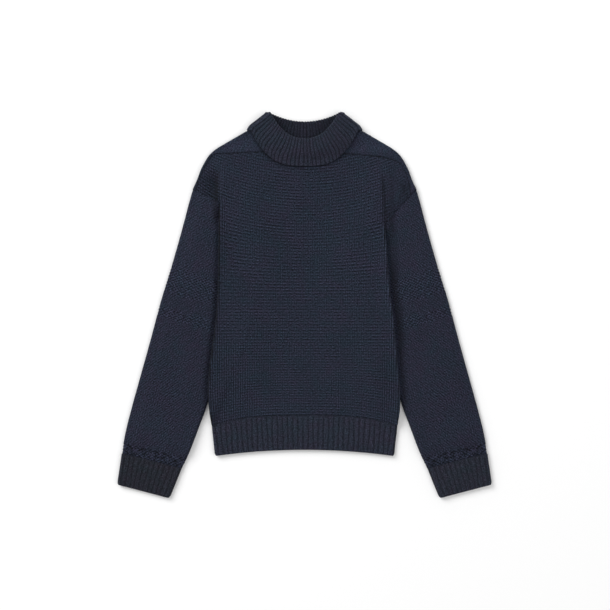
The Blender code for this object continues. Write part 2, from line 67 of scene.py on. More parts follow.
def table_top(half=TABLE_HALF):
    """One square, centred under the garment."""
    mesh = bpy.data.meshes.new("table_top")
    corners = [(x, y, TABLE_Z) for x, y in ((-half, -half), (half, -half), (half, half), (-half, half))]
    mesh.from_pydata(corners, [], [(0, 1, 2, 3)])
    white = bpy.data.materials.new("white_table")
    white.use_nodes = True
    shader = white.node_tree.nodes["Principled BSDF"]
    shader.inputs["Base Color"].default_value = TABLE_COLOUR
    shader.inputs["Roughness"].default_value = TABLE_ROUGHNESS
    mesh.materials.append(white)
    top = bpy.data.objects.new("table_top", mesh)
    bpy.context.scene.collection.objects.link(top)
    return top


print("a table", 2 * TABLE_HALF, "m wide:", table_top().name)

# %% lamps
LAMPS = (
    # name, place, size, watts
    ("key_lamp", (-3.50, 3.15, 3.60), 3.2, 255.0),
    ("fill_lamp", (3.4, -0.8, 4.8), 4.4, 68.0),
)
SKY_STRENGTH = 0.59


def soft_lamp(name, place, size, watts):
    """A square lamp at a place, turned towards the middle of the table."""
    data = bpy.data.lights.new(name, "AREA")
    data.shape = "SQUARE"
    data.size = size
    data.energy = watts
    lamp = bpy.data.objects.new(name, data)
    bpy.context.scene.collection.objects.link(lamp)
    lamp.location = place
    lamp.rotation_mode = "QUATERNION"
    lamp.rotation_quaternion = (-lamp.location).to_track_quat("-Z", "Y")


for lamp in LAMPS:
    soft_lamp(*lamp)
sky = bpy.data.worlds.new("white_sky")
sky.use_nodes = True
sky.node_tree.nodes["Background"].inputs["Color"].default_value = (1.0, 1.0, 1.0, 1.0)
sky.node_tree.nodes["Background"].inputs["Strength"].default_value = SKY_STRENGTH
bpy.context.scene.world = sky
bpy.context.scene.view_settings.view_transform = "Standard"
print(len(LAMPS), "lamps and a white sky")

# %% camera
VIEW_WIDTH = 1.126                 # metres of table that the picture takes in
VIEW_CENTRE = (0.0008, -0.0006)
LENS = 100.0
SENSOR = 36.0
CLIP_END = 20.0
camera_data = bpy.data.cameras.new("camera_above")
camera_data.lens = LENS
camera_data.sensor_width = SENSOR
camera_data.clip_end = CLIP_END
camera_above = bpy.data.objects.new("camera_above", camera_data)
bpy.context.scene.collection.objects.link(camera_above)
camera_above.location = (*VIEW_CENTRE, VIEW_WIDTH * LENS / SENSOR)
bpy.context.scene.camera = camera_above
print("the camera is", round(camera_above.location.z, 2), "m above the table")

# %% [markdown]
# ## The sizes of the garment
#
# These are a cutter's numbers, in metres. The wearer's up is +Y, the middle of the garment is
# x = 0, and the cloth is stacked up in +Z from the table. Left and right are as seen from above.
# The tables give the outline and the seams, from the hem up.

# %% cloth and folds
KNIT_WALL = 0.003                         # plain knitted cloth
RIB_WALL = 0.0035                         # ribbed cloth
LAY_GAP = 0.0010                          # between layers that lie on each other
SEW = 0.0002                              # pieces reach this far into each other where sewn
FOLD_RADIUS = 0.0022                      # middle of the cloth where a side folds over
FOLD_FLAT = 0.0012                        # upright stretch in the middle of that fold
SIDE_FOLD_FADE = 0.025                    # the fold opens over this much below the armhole
CREASE = 0.008                            # how far a fold's roundness reaches across the top
UNEVEN = 0.0001                           # the lowest cloth is this far off the table
BACK_Z = KNIT_WALL / 2 + UNEVEN
STACK = KNIT_WALL + LAY_GAP               # from one layer's middle to the next
RIB_STACK = RIB_WALL + LAY_GAP
EDGE_STACK = 2 * FOLD_RADIUS + FOLD_FLAT  # the same at a folded side
TUCK_LIFT = 2 * STACK + LAY_GAP / 3       # the body over a tucked sleeve
NECK_LIFT = RIB_STACK                     # the back over the collar's turned-down back
print("two layers are", round((STACK + KNIT_WALL) * 1000, 1), "mm high")

# %% neck, hem and tucks
NECK_HALF = 0.084         # half the neck's width
NECK_POINT_Y = 0.329      # where it meets the shoulders
FRONT_NECK_DROP = 0.060
BACK_NECK_DROP = 0.028
NECK_POWER = 2.5          # how square the neckline is: 2 would be a parabola
NECK_BLEND = 0.3          # of the last rung, over which the front seam turns into the neckline
HEM_SEAM_Y = -0.223
HEM_SEAM_ARCH = 0.019     # the seam is this much higher in the middle
HEM_SEAM_POWER = 3
HEM_EDGE_Y = -0.279
HEM_EDGE_ARCH = 0.0115
HEM_TOP_HALF = 0.1714     # half widths of the hem rib and, between them, of the seam
HEM_SEAM_HALF = 0.1697
HEM_LOW_HALF = 0.1655
TUCK_PLATEAU = 0.010      # the body is fully up this far before a sleeve's inner edge
TUCK_RAMP = 0.020         # and climbs over this much
CREASE_SIDE = 0.019       # past its own side it comes down again over this much
SOFT_RAMP = 0.110         # the front spans the hollow between the tucked sleeves on a soft slope
SOFT_RISE = 0.100         # and runs out above them over this much
SOFT_END = -0.215         # and towards the hem, which lies flat
SOFT_FADE = 0.085
COLLAR_CORNER_Y = 0.3245  # the turned-down collar under the back: its corners,
COLLAR_HALF = 0.1020      # half its width,
BACK_TURN_DROP = 0.037    # and how far its free edge hangs in the middle
NECK_RAMP = 0.026         # the back climbs over it on this much
NECK_RAMP_CLEAR = 0.004
NECK_RAMP_SIDE = 0.0364
NECK_SEAM_RISE = 0.0022
print("the neck is", round(2 * NECK_HALF, 3), "m wide and the hem", round(2 * HEM_LOW_HALF, 3))

# %% tables of the outline
BODY_SIDE = dict(
    y=(-0.290, -0.223, -0.194, -0.160, -0.111, -0.063, -0.028, 0.007, 0.060, 0.130, 0.190),
    left=(0.1640, 0.1712, 0.1755, 0.1778, 0.1744, 0.1680, 0.1636, 0.1606, 0.1592, 0.1580, 0.1570),
    right=(0.1640, 0.1712, 0.1752, 0.1755, 0.1713, 0.1670, 0.1640, 0.1590, 0.1540, 0.1495, 0.1470),
)
OUTER_EDGE = dict(
    y=(-0.280, -0.256, -0.233, -0.194, -0.139, -0.065, 0.009, 0.082, 0.119, 0.156, 0.193, 0.212,
       0.230, 0.249, 0.267, 0.277, 0.286, 0.295, 0.303, 0.310, 0.3175, 0.329),
    reach=(0.3372, 0.3345, 0.3302, 0.3204, 0.3052, 0.2846, 0.2648, 0.2425, 0.2319, 0.2218, 0.2120,
           0.2063, 0.1980, 0.1909, 0.1813, 0.1738, 0.1630, 0.1482, 0.1346, 0.1222, 0.1084, 0.0840),
)
INNER_EDGE = dict(
    y=(-0.304, -0.266, -0.233, -0.194, -0.180, -0.117, -0.047, 0.027, 0.095, 0.165),
    reach=(0.2262, 0.2090, 0.1965, 0.1819, 0.1773, 0.1524, 0.1265, 0.1085, 0.1010, 0.1007),
)
# Where each armhole seam leaves the outer edge, where the body's side covers it, its hidden end.
ARMHOLE = dict(
    left=dict(corner=(0.2063, 0.2120), notch=(0.1575, 0.1890), end=(0.1007, 0.1622)),
    right=dict(corner=(0.2063, 0.2120), notch=(0.1485, 0.1490), end=(0.1007, 0.0969)),
)
NOTCH_Y = {side: ARMHOLE[side]["notch"][1] for side in ARMHOLE}
# Over each shoulder: points of the outer edge, and the points of the front seam they lead to.
SHOULDER = dict(
    edge_x=(0.2063, 0.1980, 0.1909, 0.1813, 0.1738, 0.1630, 0.1482, 0.1346, 0.1222, 0.1084, 0.0840),
    edge_y=(0.2120, 0.2300, 0.2490, 0.2670, 0.2770, 0.2860, 0.2950, 0.3030, 0.3100, 0.3175, 0.3290),
    left_x=(0.2010, 0.1930, 0.1862, 0.1765, 0.1670, 0.1560, 0.1390, 0.1200, 0.1010, 0.0800, 0.0490),
    left_y=(0.2095, 0.2310, 0.2490, 0.2650, 0.2775, 0.2780, 0.2787, 0.2797, 0.2807, 0.2818, 0.2835),
    right_x=(0.1955, 0.1905, 0.1845, 0.1780, 0.1705, 0.1560, 0.1390, 0.1200, 0.1010, 0.0800, 0.0450),
    right_y=(0.2002, 0.2300, 0.2450, 0.2570, 0.2635, 0.2677, 0.2725, 0.2742, 0.2759, 0.2778, 0.2810),
)
LAST_RUNG = len(SHOULDER["edge_x"]) - 1
SEAM_RUNG = 4            # the front panel's top row ends at this point of the shoulder
print(LAST_RUNG + 1, "points over each shoulder")

# %% [markdown]
# ## Smooth lines and soft steps
#
# A cutter draws a smooth line through a few measured points. `curve` does the same, and
# `ease` is the soft step that every slope of the cloth is made of. A fold or a dimple is a
# `bell`, a soft oval hill. All of them take whole arrays, so one call shapes a whole panel.

# %% lines and steps


def ease(t):
    """3t² - 2t³ between 0 and 1, and level outside."""
    t = np.clip(t, 0.0, 1.0)
    return t * t * (3 - 2 * t)


def past(value, start, over):
    """A soft step from 0 to 1 that begins at start and takes over; below 0 it runs downwards."""
    return ease((value - start) / over)


def curve(at, keys, values):
    """A smooth line through points: between two of them the cubic that has, at each, the slope
    of the chords beside it. It is level beyond the ends."""
    keys, values = np.asarray(keys, float), np.asarray(values, float)
    slopes = np.gradient(values, keys)
    at = np.asarray(at, float)
    i = np.clip(np.searchsorted(keys, at) - 1, 0, len(keys) - 2)
    width = keys[i + 1] - keys[i]
    t = np.clip((at - keys[i]) / width, 0.0, 1.0)
    rise = values[i] * (1 + 2 * t) * (1 - t) ** 2 + values[i + 1] * t * t * (3 - 2 * t)
    return rise + width * (slopes[i] * t * (1 - t) ** 2 - slopes[i + 1] * t * t * (1 - t))


def blend(a, b, t):
    """a where t is 0, b where it is 1, and the straight mix between."""
    return a + (b - a) * t


def by_side(x, left, right):
    """left where x is below 0, right elsewhere."""
    return np.where(np.asarray(x) < 0, left, right)


def gauss(distance, width):
    """e to the power of -(distance / width)²: 1 at distance 0, and soon 0."""
    return np.exp(-(distance / width) ** 2)


def bell(x, y, at_x, at_y, long, wide, heading):
    """A soft oval hill of height 1, long by wide, turned by heading degrees: the gauss along it
    times the gauss across it."""
    a = math.radians(heading)
    along = (x - at_x) * math.cos(a) + (y - at_y) * math.sin(a)
    off = (y - at_y) * math.cos(a) - (x - at_x) * math.sin(a)
    return np.exp(-(along / long) ** 2 - (off / wide) ** 2)


def waves(x, y, seed, size):
    """A gentle unevenness between about -1 and 1: a sum of six long sine waves in seeded
    directions, each 0.6 to 1.6 times the size long."""
    draw = np.random.default_rng(seed)
    total = np.zeros(np.broadcast(x, y).shape)
    for _ in range(6):
        heading, turn = draw.uniform(0, 2 * math.pi, 2)
        length = size * draw.uniform(0.6, 1.6)
        total += np.sin((x * math.cos(heading) + y * math.sin(heading)) * 2 * math.pi / length + turn)
    return total / 3


print("halfway up a soft step is", ease(0.5))

# %% lines of the garment


def body_side(x, y):
    """How far out the body's side is at a height, on the side of x."""
    return by_side(x, *(curve(y, BODY_SIDE["y"], BODY_SIDE[side]) for side in ("left", "right")))


def outer_edge(y):
    """The arms' outer line, and above the armholes the shoulders."""
    return curve(y, OUTER_EDGE["y"], OUTER_EDGE["reach"])


def inner_edge(y):
    """The arms' inner line, most of which is under the body."""
    return curve(y, INNER_EDGE["y"], INNER_EDGE["reach"])


def hem_seam_y(share):
    """The hem seam at a share of the half width: it arches up in the middle."""
    return HEM_SEAM_Y + HEM_SEAM_ARCH * (1 - np.abs(share) ** HEM_SEAM_POWER)


def neck_y(x, drop):
    """The neckline: down by drop in the middle, up to the neck points."""
    return NECK_POINT_Y - drop * (1 - np.minimum(np.abs(x) / NECK_HALF, 1) ** NECK_POWER)


def armhole_point(side, t):
    """A point of the armhole seam from its notch (0) to its corner (1)."""
    hole = ARMHOLE[side]
    return [blend(hole["notch"][axis], hole["corner"][axis], t) for axis in (0, 1)]


def shoulder_line(side, t):
    """The fold's edge and the seam's point at a place along the shoulder, in rungs from 0 to
    the last, and a share that says how near the neckline is."""
    rungs = np.arange(LAST_RUNG + 1)
    edge = [curve(t, rungs, SHOULDER[key]) for key in ("edge_x", "edge_y")]
    seam = [np.interp(t, rungs, SHOULDER[side + key]) for key in ("_x", "_y")]
    last = ease((t - LAST_RUNG) / NECK_BLEND + 1)
    seam[1] = blend(seam[1], neck_y(seam[0], FRONT_NECK_DROP), last)
    return edge[0] - KNIT_WALL / 2, edge[1], seam[0], seam[1], last


print("the body is", round(float(body_side(-1, 0.0) + body_side(1, 0.0)), 3), "m wide at the waist")

# %% [markdown]
# ## How high the layers lie
#
# The sleeves are tucked under the body, so the body climbs over them at both sides. The back
# also climbs over the half of the collar that is turned down under it. The levels are
# functions of the place on the table, so that all layers agree wherever they meet.

# %% levels
SLOPE_STEP = 0.002       # a slope is measured between two points this far to both sides


def above_armhole(x, y):
    """How far a point is above the line from the armhole's corner to its hidden end."""
    found = []
    for hole in ARMHOLE.values():
        end_x, end_y = hole["end"]
        run, climb = hole["corner"][0] - end_x, hole["corner"][1] - end_y
        off = (y - end_y) * run - (np.abs(x) - end_x) * climb
        found.append(off / math.hypot(run, climb))
    return by_side(x, *found)


def tuck_lift(x, y, reach_up, ramp):
    """The height of a tucked sleeve: eased in from its inner edge over ramp, out above the
    armhole over reach_up, and out past the body's side."""
    across = ease((np.abs(x) - inner_edge(y) + TUCK_PLATEAU + ramp) / ramp)
    up = ease(1 - (above_armhole(x, y) - CREASE_SIDE / 2) / reach_up)
    wing = ease(1 - (np.abs(x) - body_side(x, y)) / CREASE_SIDE)
    return TUCK_LIFT * across * up * wing


def neck_lift(x, y):
    """The height of the collar's turned-down back, eased in over NECK_RAMP round it."""
    drop = BACK_TURN_DROP * (1 - np.minimum(np.abs(x) / COLLAR_HALF, 1) ** NECK_POWER)
    up = ease((y - COLLAR_CORNER_Y + drop + NECK_RAMP + NECK_RAMP_CLEAR) / NECK_RAMP)
    across = ease((COLLAR_HALF + NECK_RAMP_SIDE - np.abs(x)) / NECK_RAMP)
    return NECK_LIFT * up * across


def back_level(x, y):
    """The lowest layer's middle: the table, plus what lies under the cloth there."""
    return BACK_Z + tuck_lift(x, y, TUCK_RAMP, TUCK_RAMP) + neck_lift(x, y)


def side_fold(x, y):
    """1 where the body's side is folded, 0 where the armhole begins."""
    return ease((by_side(x, *NOTCH_Y.values()) - y) / SIDE_FOLD_FADE)


def edge_roundness(x, y):
    """1 on a fold's edge, and less with the gauss of the distance from it."""
    to_outer, to_body = outer_edge(y) - np.abs(x), body_side(x, y) - np.abs(x)
    return np.maximum(gauss(to_outer, CREASE), gauss(to_body, CREASE) * side_fold(x, y))


def front_level(x, y):
    """The top layer: one stack above the back, measured square to its slope, but with softer
    slopes of its own, which leave a little air beside the tucked sleeves."""
    step = SLOPE_STEP
    slope_x = (back_level(x + step, y) - back_level(x - step, y)) / (2 * step)
    slope_y = (back_level(x, y + step) - back_level(x, y - step)) / (2 * step)
    steep = np.sqrt(1 + slope_x ** 2 + slope_y ** 2)
    sharply = tuck_lift(x, y, TUCK_RAMP, TUCK_RAMP)
    softly = blend(sharply, tuck_lift(x, y, SOFT_RISE, SOFT_RAMP), past(y, SOFT_END, SOFT_FADE))
    rounded = (EDGE_STACK - STACK) * edge_roundness(x, y)
    return BACK_Z + neck_lift(x, y) + softly + STACK * steep + rounded


print("the front lies", round(float(front_level(0.0, 0.0)) * 1000, 1), "mm up in the middle and",
      round(float(front_level(0.14, 0.0)) * 1000, 1), "mm over a sleeve")

# %% folds of the front
FRONT_FOLDS = (
    # height, middle x and y, length, width, heading in degrees
    (0.0026, -0.190, 0.228, 0.030, 0.013, 66),     # the left shoulder's puffed outer edge
    (-0.0060, -0.1640, 0.224, 0.026, 0.0085, 86),  # the hollow between it and the body's side
    (0.0016, -0.1500, 0.226, 0.040, 0.0090, 88),
    (0.0028, 0.1560, 0.180, 0.030, 0.0045, 88),    # small upright folds at the right armhole
    (0.0024, 0.1700, 0.196, 0.022, 0.0050, 80),
    (0.0026, 0.1930, 0.205, 0.012, 0.0060, 40),    # and the edge of the dimple beside them
    (0.0012, -0.060, 0.235, 0.060, 0.012, 28),     # drag lines from the collar
    (0.0012, 0.070, 0.232, 0.060, 0.012, 152),
    (0.0010, 0.020, -0.190, 0.130, 0.012, 2),      # the body blouses a little above the hem
)
UNEVEN_RISE, UNEVEN_SIZE, UNEVEN_SEED = 0.0005, 0.12, 3


def front_folds(x, y):
    """What the folds add to the front's level: a sum of bells on a gentle unevenness."""
    total = sum(height * bell(x, y, *rest) for height, *rest in FRONT_FOLDS)
    return total + UNEVEN_RISE * (1 + waves(x, y, UNEVEN_SEED, UNEVEN_SIZE))


print(len(FRONT_FOLDS), "folds are laid by hand")

# %% [markdown]
# ## From a grid of points to a wall of cloth
#
# Each piece is worked out as a grid of points through the middle of its cloth. Its two faces
# lie half a wall away on both sides, square to the cloth, and a narrow rim closes them along
# every open edge. A Solidify modifier could thicken a surface too, but not by a different amount
# at each point. Here the ribs and the seams are cut into the faces as shallow grooves, so they
# are real shapes that catch the light from any side.
#
# Each corner of a face is also given a place on the flat cloth, in metres. That is what an
# unwrap is for: the stitches can then follow the knitting and keep their size.

# %% along the cloth and square to it


def unit(vectors):
    """Each vector divided by its length."""
    return vectors / np.maximum(np.linalg.norm(vectors, axis=-1, keepdims=True), 1e-12)


def run_along(points, axis):
    """The length passed along the grid lines of one direction, from 0 at their start."""
    steps = np.linalg.norm(np.diff(points, axis=axis), axis=-1)
    start = np.zeros_like(np.take(steps, [0], axis=axis))
    return np.cumsum(np.concatenate([start, steps], axis=axis), axis=axis)


def grid_quads(rows, columns, wrapped):
    """The four corners of each square of a grid, in its own order."""
    index = np.arange(rows * columns).reshape(rows, columns)
    if wrapped:
        index = np.concatenate([index, index[:, :1]], axis=1)
    corners = (index[:-1, :-1], index[:-1, 1:], index[1:, 1:], index[1:, :-1])
    return np.stack([c.ravel() for c in corners], axis=1)


def cloth_normals(points, quads):
    """Square to the cloth at each point: the sum over its squares of the cross product of
    their diagonals."""
    p = points[quads]
    faces = np.cross(p[:, 2] - p[:, 0], p[:, 3] - p[:, 1])
    normals = np.zeros_like(points)
    for corner in range(4):
        np.add.at(normals, quads[:, corner], faces)
    return unit(normals)


print("a grid of 3 x 4 points has", len(grid_quads(3, 4, False)), "squares")

# %% closing the wall


def open_rim(quads, place, count):
    """The faces that close the wall, and their places on the flat cloth. An edge is open where
    no other square runs along it the other way; its rim goes on past the cloth by one wall."""
    starts, ends = quads.ravel(), np.roll(quads, -1, axis=1).ravel()
    free = ~np.isin(starts * count + ends, ends * count + starts)
    p, q = starts[free], ends[free]
    rim = np.stack([q, p, p + count, q + count], axis=1)
    place_p = place.reshape(-1, 2)[free]
    place_q = np.roll(place, -1, axis=1).reshape(-1, 2)[free]
    centre = np.repeat(place.mean(axis=1), 4, axis=0)[free]
    outward = unit((place_p + place_q) / 2 - centre) * KNIT_WALL
    return rim, np.stack([place_q, place_p, place_p + outward, place_q + outward], axis=1)


def volume_sign(corners):
    """Below 0 where the faces look inwards: the sum of each face's first corner, dot the cross
    products of the others, which is six times the volume inside."""
    fan = np.cross(corners[:, 1], corners[:, 2]) + np.cross(corners[:, 2], corners[:, 3])
    return np.einsum("ij,ij->i", corners[:, 0], fan).sum()


print("a rim goes on past the cloth by", KNIT_WALL * 1000, "mm")

# %% a wall of cloth


def cloth_mesh(name, points, faces, places, marks):
    """A new object with these points, four-cornered faces, flat places and marks."""
    mesh = bpy.data.meshes.new(name)
    mesh.vertices.add(len(points))
    mesh.vertices.foreach_set("co", points.ravel().astype(np.float32))
    mesh.loops.add(faces.size)
    mesh.loops.foreach_set("vertex_index", faces.ravel().astype(np.int32))
    mesh.polygons.add(len(faces))
    mesh.polygons.foreach_set("loop_start", np.arange(0, faces.size, 4, dtype=np.int32))
    mesh.update(calc_edges=True)
    mesh.shade_smooth()
    layer = mesh.uv_layers.new(name="flat_cloth")
    layer.data.foreach_set("uv", places.ravel().astype(np.float32))
    for mark, values in marks.items():
        layer = mesh.attributes.new(mark, "FLOAT", "POINT")
        layer.data.foreach_set("value", values.astype(np.float32))
    piece = bpy.data.objects.new(name, mesh)
    bpy.context.scene.collection.objects.link(piece)
    return piece


def knit_wall(name, middle, outside, inside, flat, marks, facing=1, wrapped=False, present=None):
    """A closed wall round a grid of points. outside and inside are the distances to its two
    faces, flat is the place of each point on the flat cloth, marks are numbers that the material
    reads at each point, facing is -1 where the grid runs the other way round, wrapped joins the
    last column to the first, and present leaves squares out."""
    rows, columns = middle.shape[:2]
    quads = grid_quads(rows, columns, wrapped)
    flat_quads = grid_quads(*flat.shape[:2], False)
    if present is not None:
        quads, flat_quads = quads[present.ravel()], flat_quads[present.ravel()]
    points = middle.reshape(-1, 3)
    normals = cloth_normals(points, quads) * facing
    outside, inside = (np.broadcast_to(face, (rows, columns)).reshape(-1, 1)
                       for face in (outside, inside))
    both = np.concatenate([points + normals * outside, points - normals * inside])
    count = len(points)
    place = flat.reshape(-1, 2)[flat_quads]
    rim, rim_place = open_rim(quads, place, count)
    faces = np.concatenate([quads, quads[:, ::-1] + count, rim])
    places = np.concatenate([place, place[:, ::-1], rim_place])
    if volume_sign(both[faces]) < 0:
        faces, places = faces[:, ::-1], places[:, ::-1]
    used, faces = np.unique(faces, return_inverse=True)
    faces = faces.reshape(-1, 4)
    at_used = {mark: np.tile(np.broadcast_to(values, (rows, columns)).ravel(), 2)[used]
               for mark, values in marks.items()}
    print(f"{name}: {rows} x {columns} points, {2 * len(faces)} triangles")
    return cloth_mesh(name, both[used], faces, places, at_used)


print("each wall carries its flat places and its marks")

# %% [markdown]
# ## Ribs, seams and rounded edges
#
# A rib of two knit stitches and one purl stitch stands up as a double ridge with a narrow gutter
# beside it. A seam pulls the cloth down on both sides of its line. A free edge, such as a
# cuff's, is as round as the yarn is thick. They could be bevels and loop cuts, but a depth that
# is taken off a face of the wall can follow any line on the cloth.

# %% grooves
RIB_DEPTH = 0.0013
GUTTER = 0.17            # half the gutter's width, as a share of one rib
BETWEEN_KNITS = 0.22     # the dip between the two knit columns, against the gutter's depth
BETWEEN_WIDTH = 0.07
SEAM_DEPTH = 0.0007
SEAM_REACH = 0.0015
EDGE_FULLNESS = 0.9      # 1 would leave no thickness at all on the edge itself


def rib_groove(turn):
    """Depth of a rib at a number of ribs passed: a gauss round each half, and a shallower one
    round each whole number, between the two knit columns."""
    passed = turn - np.floor(turn)
    between = np.minimum(passed, 1 - passed)
    gutter, dip = gauss(np.abs(passed - 0.5), GUTTER), gauss(between, BETWEEN_WIDTH)
    return RIB_DEPTH * (gutter + BETWEEN_KNITS * dip)


def seam_groove(distance):
    """Depth of a seam at a distance from its line: a gauss."""
    return SEAM_DEPTH * gauss(distance, SEAM_REACH)


def round_edge(distance, wall):
    """What a half-round edge of this wall lacks at a distance from it: the radius, less the
    height of the half circle there."""
    t = np.clip(distance / (wall / 2), 0, 1)
    return wall / 2 * (1 - np.sqrt(1 - (1 - t) ** 2)) * EDGE_FULLNESS


print("a rib's gutter is", round(float(rib_groove(0.5)) * 1000, 2), "mm deep")

# %% spacing of the rows
ROW_STEP = 0.0026
EDGE_ROWS = np.array([0.0, 0.00025, 0.0006, 0.0011, 0.0017, 0.0025])
CLEAR_OF_EDGE = 1.3


def rows_between(length, step=ROW_STEP, fine_start=True, fine_end=True):
    """Shares of a length: even steps, with close rows at the ends that need them."""
    shares = [np.linspace(0, 1, max(2, round(length / step)))]
    near = EDGE_ROWS / length
    if fine_start:
        shares = [near, shares[0][shares[0] > near[-1] * CLEAR_OF_EDGE]]
    if fine_end:
        shares[-1] = shares[-1][shares[-1] < 1 - near[-1] * CLEAR_OF_EDGE]
        shares.append(1 - near[::-1])
    return np.concatenate(shares)


print("a cuff of 56 mm has", len(rows_between(0.056)), "rows")

# %% [markdown]
# ## The front panel
#
# The front runs from the hem seam up to the neckline and to the forward shoulder seams. Below
# the armholes its sides fold down round the edge of the body. A cloth simulation could drape
# such a panel, but the folds of this very garment are known, so they are given one by one.
#
# The grid is made of rows from side to side: straight ones at the chest, which bend more and
# more until the last row is the neckline itself.

# %% columns of a panel
FLAT_COLUMNS = 64
FOLD_COLUMNS = 7


def half_columns():
    """For each column from the middle out: the share of the flat width, and the angle round
    the folded side."""
    shares = np.concatenate([np.linspace(0, 1, FLAT_COLUMNS), np.ones(FOLD_COLUMNS)])
    quarter = np.linspace(0, math.pi / 2, FOLD_COLUMNS + 1)[1:]
    return shares, np.concatenate([np.zeros(FLAT_COLUMNS), quarter])


def panel_columns(reach):
    """x, share of the reach and rise at a folded side, for every row and column. The fold is a
    quarter of an ellipse as high as half the edge's stack."""
    shares, angles = half_columns()
    found = []
    for side, sign in (("left", -1), ("right", 1)):
        out = (reach[side][:, None] - FOLD_RADIUS) * shares + FOLD_RADIUS * np.sin(angles)
        rise = np.broadcast_to(EDGE_STACK / 2 * (1 - np.cos(angles)), out.shape)
        found.append((sign * out, sign * out / reach[side][:, None], rise))
    return [np.concatenate([a[:, :0:-1], b], axis=1) for a, b in zip(*found)]


def between_sides(side, share):
    """On the straight line from the left value to the right one, at a signed share of the reach."""
    return side["left"][:, None] + (side["right"] - side["left"])[:, None] * (share + 1) / 2


print(2 * (FLAT_COLUMNS + FOLD_COLUMNS) - 1, "columns from side to side")

# %% rows of the front
LOWER_LENGTH = 0.40      # from the hem seam to the armholes
UPPER_LENGTH = 0.092     # and from there to the shoulder seams
WING_ROWS = 3            # points of the armhole seam that the rows' ends are led through
CROWN_POWER = 1.5
SEAM_POINTS = 120        # enough to read the seam's line from


def lower_grid():
    """x, y and rise of the rows from the hem seam to the foot of the armhole seams: straight
    blends of the seam's arch and the line between the two notches."""
    t = rows_between(LOWER_LENGTH, fine_end=False)
    side_y = {side: blend(hem_seam_y(1.0), NOTCH_Y[side], t) for side in NOTCH_Y}
    reach = {side: curve(side_y[side], BODY_SIDE["y"], BODY_SIDE[side]) - KNIT_WALL / 2
             for side in side_y}
    x, share, rise = panel_columns(reach)
    top = between_sides({side: np.full(len(t), NOTCH_Y[side]) for side in NOTCH_Y}, share)
    y = blend(hem_seam_y(share), top, t[:, None])
    return x, y, rise * side_fold(x, y)


def front_top_y(x):
    """The neckline, and beyond it the forward shoulder seams."""
    line = neck_y(x, FRONT_NECK_DROP)
    for side in ("left", "right"):
        seam_x, seam_y = shoulder_line(side, np.linspace(LAST_RUNG, SEAM_RUNG, SEAM_POINTS))[2:4]
        here = by_side(x, side == "left", side == "right") & (np.abs(x) > seam_x[0])
        line = np.where(here, np.interp(np.abs(x), seam_x, seam_y), line)
    return line


def notch_point(side):
    """The foot of an armhole seam, in the middle of the body's folded side."""
    return float(curve(NOTCH_Y[side], BODY_SIDE["y"], BODY_SIDE[side])) - KNIT_WALL / 2, NOTCH_Y[side]


def upper_front_grid():
    """The rows from there to the neckline. Their ends go up the armhole seams and then the
    outer part of the shoulder seams, and the crown of a row, its rise over a straight line,
    grows with a power of the way up until it is the shape of the top edge."""
    keys = np.arange(WING_ROWS + SEAM_RUNG + 1)
    t = rows_between(UPPER_LENGTH, fine_start=False)[1:] * keys[-1]
    reach, side_y = {}, {}
    for side in ("left", "right"):
        wing = [notch_point(side)] + [armhole_point(side, k / WING_ROWS) for k in range(1, WING_ROWS)]
        seam = list(zip(SHOULDER[side + "_x"], SHOULDER[side + "_y"]))[:SEAM_RUNG + 1]
        ends = np.array(wing + seam)
        reach[side], side_y[side] = (np.interp(t, keys, ends[:, axis]) for axis in (0, 1))
    x, share, rise = panel_columns(reach)
    top_x = share * by_side(share, SHOULDER["left_x"][SEAM_RUNG], SHOULDER["right_x"][SEAM_RUNG])
    top_y = {side: np.full(len(t), SHOULDER[side + "_y"][SEAM_RUNG]) for side in reach}
    top = between_sides(top_y, share)
    crown = front_top_y(top_x) - top
    y = between_sides(side_y, share) + (t[:, None] / keys[-1]) ** CROWN_POWER * crown
    return x, y, np.zeros_like(rise)


print("the front has", len(lower_grid()[0]) + len(upper_front_grid()[0]), "rows")

# %% the front on the flat cloth
SMILE = 1.15             # how strongly the rows of stitches sag between the shoulders
WING_SMILE = 25.0        # and how much more beyond WING_FROM
WING_FROM = 0.130
SMILE_FROM, SMILE_OVER = -0.02, 0.24
ARCH_FROM, ARCH_OVER = -0.22, 0.16


def body_flat(x, y, run):
    """Place on the flat cloth: across along the row, and up against the bent rows. The rows
    sag as x squared between the shoulders and follow the arched seam at the hem."""
    beyond = np.maximum(np.abs(x) - WING_FROM, 0)
    sag = (SMILE * x ** 2 + WING_SMILE * beyond ** 3) * past(y, SMILE_FROM, SMILE_OVER)
    arch = HEM_SEAM_ARCH * (1 - np.minimum(np.abs(x) / HEM_SEAM_HALF, 1) ** HEM_SEAM_POWER)
    return np.stack([run, y - sag - arch * ease(1 - (y - ARCH_FROM) / ARCH_OVER)], axis=-1)


print("at the shoulders a row hangs", round(SMILE * WING_FROM ** 2 * 1000), "mm lower in the middle")
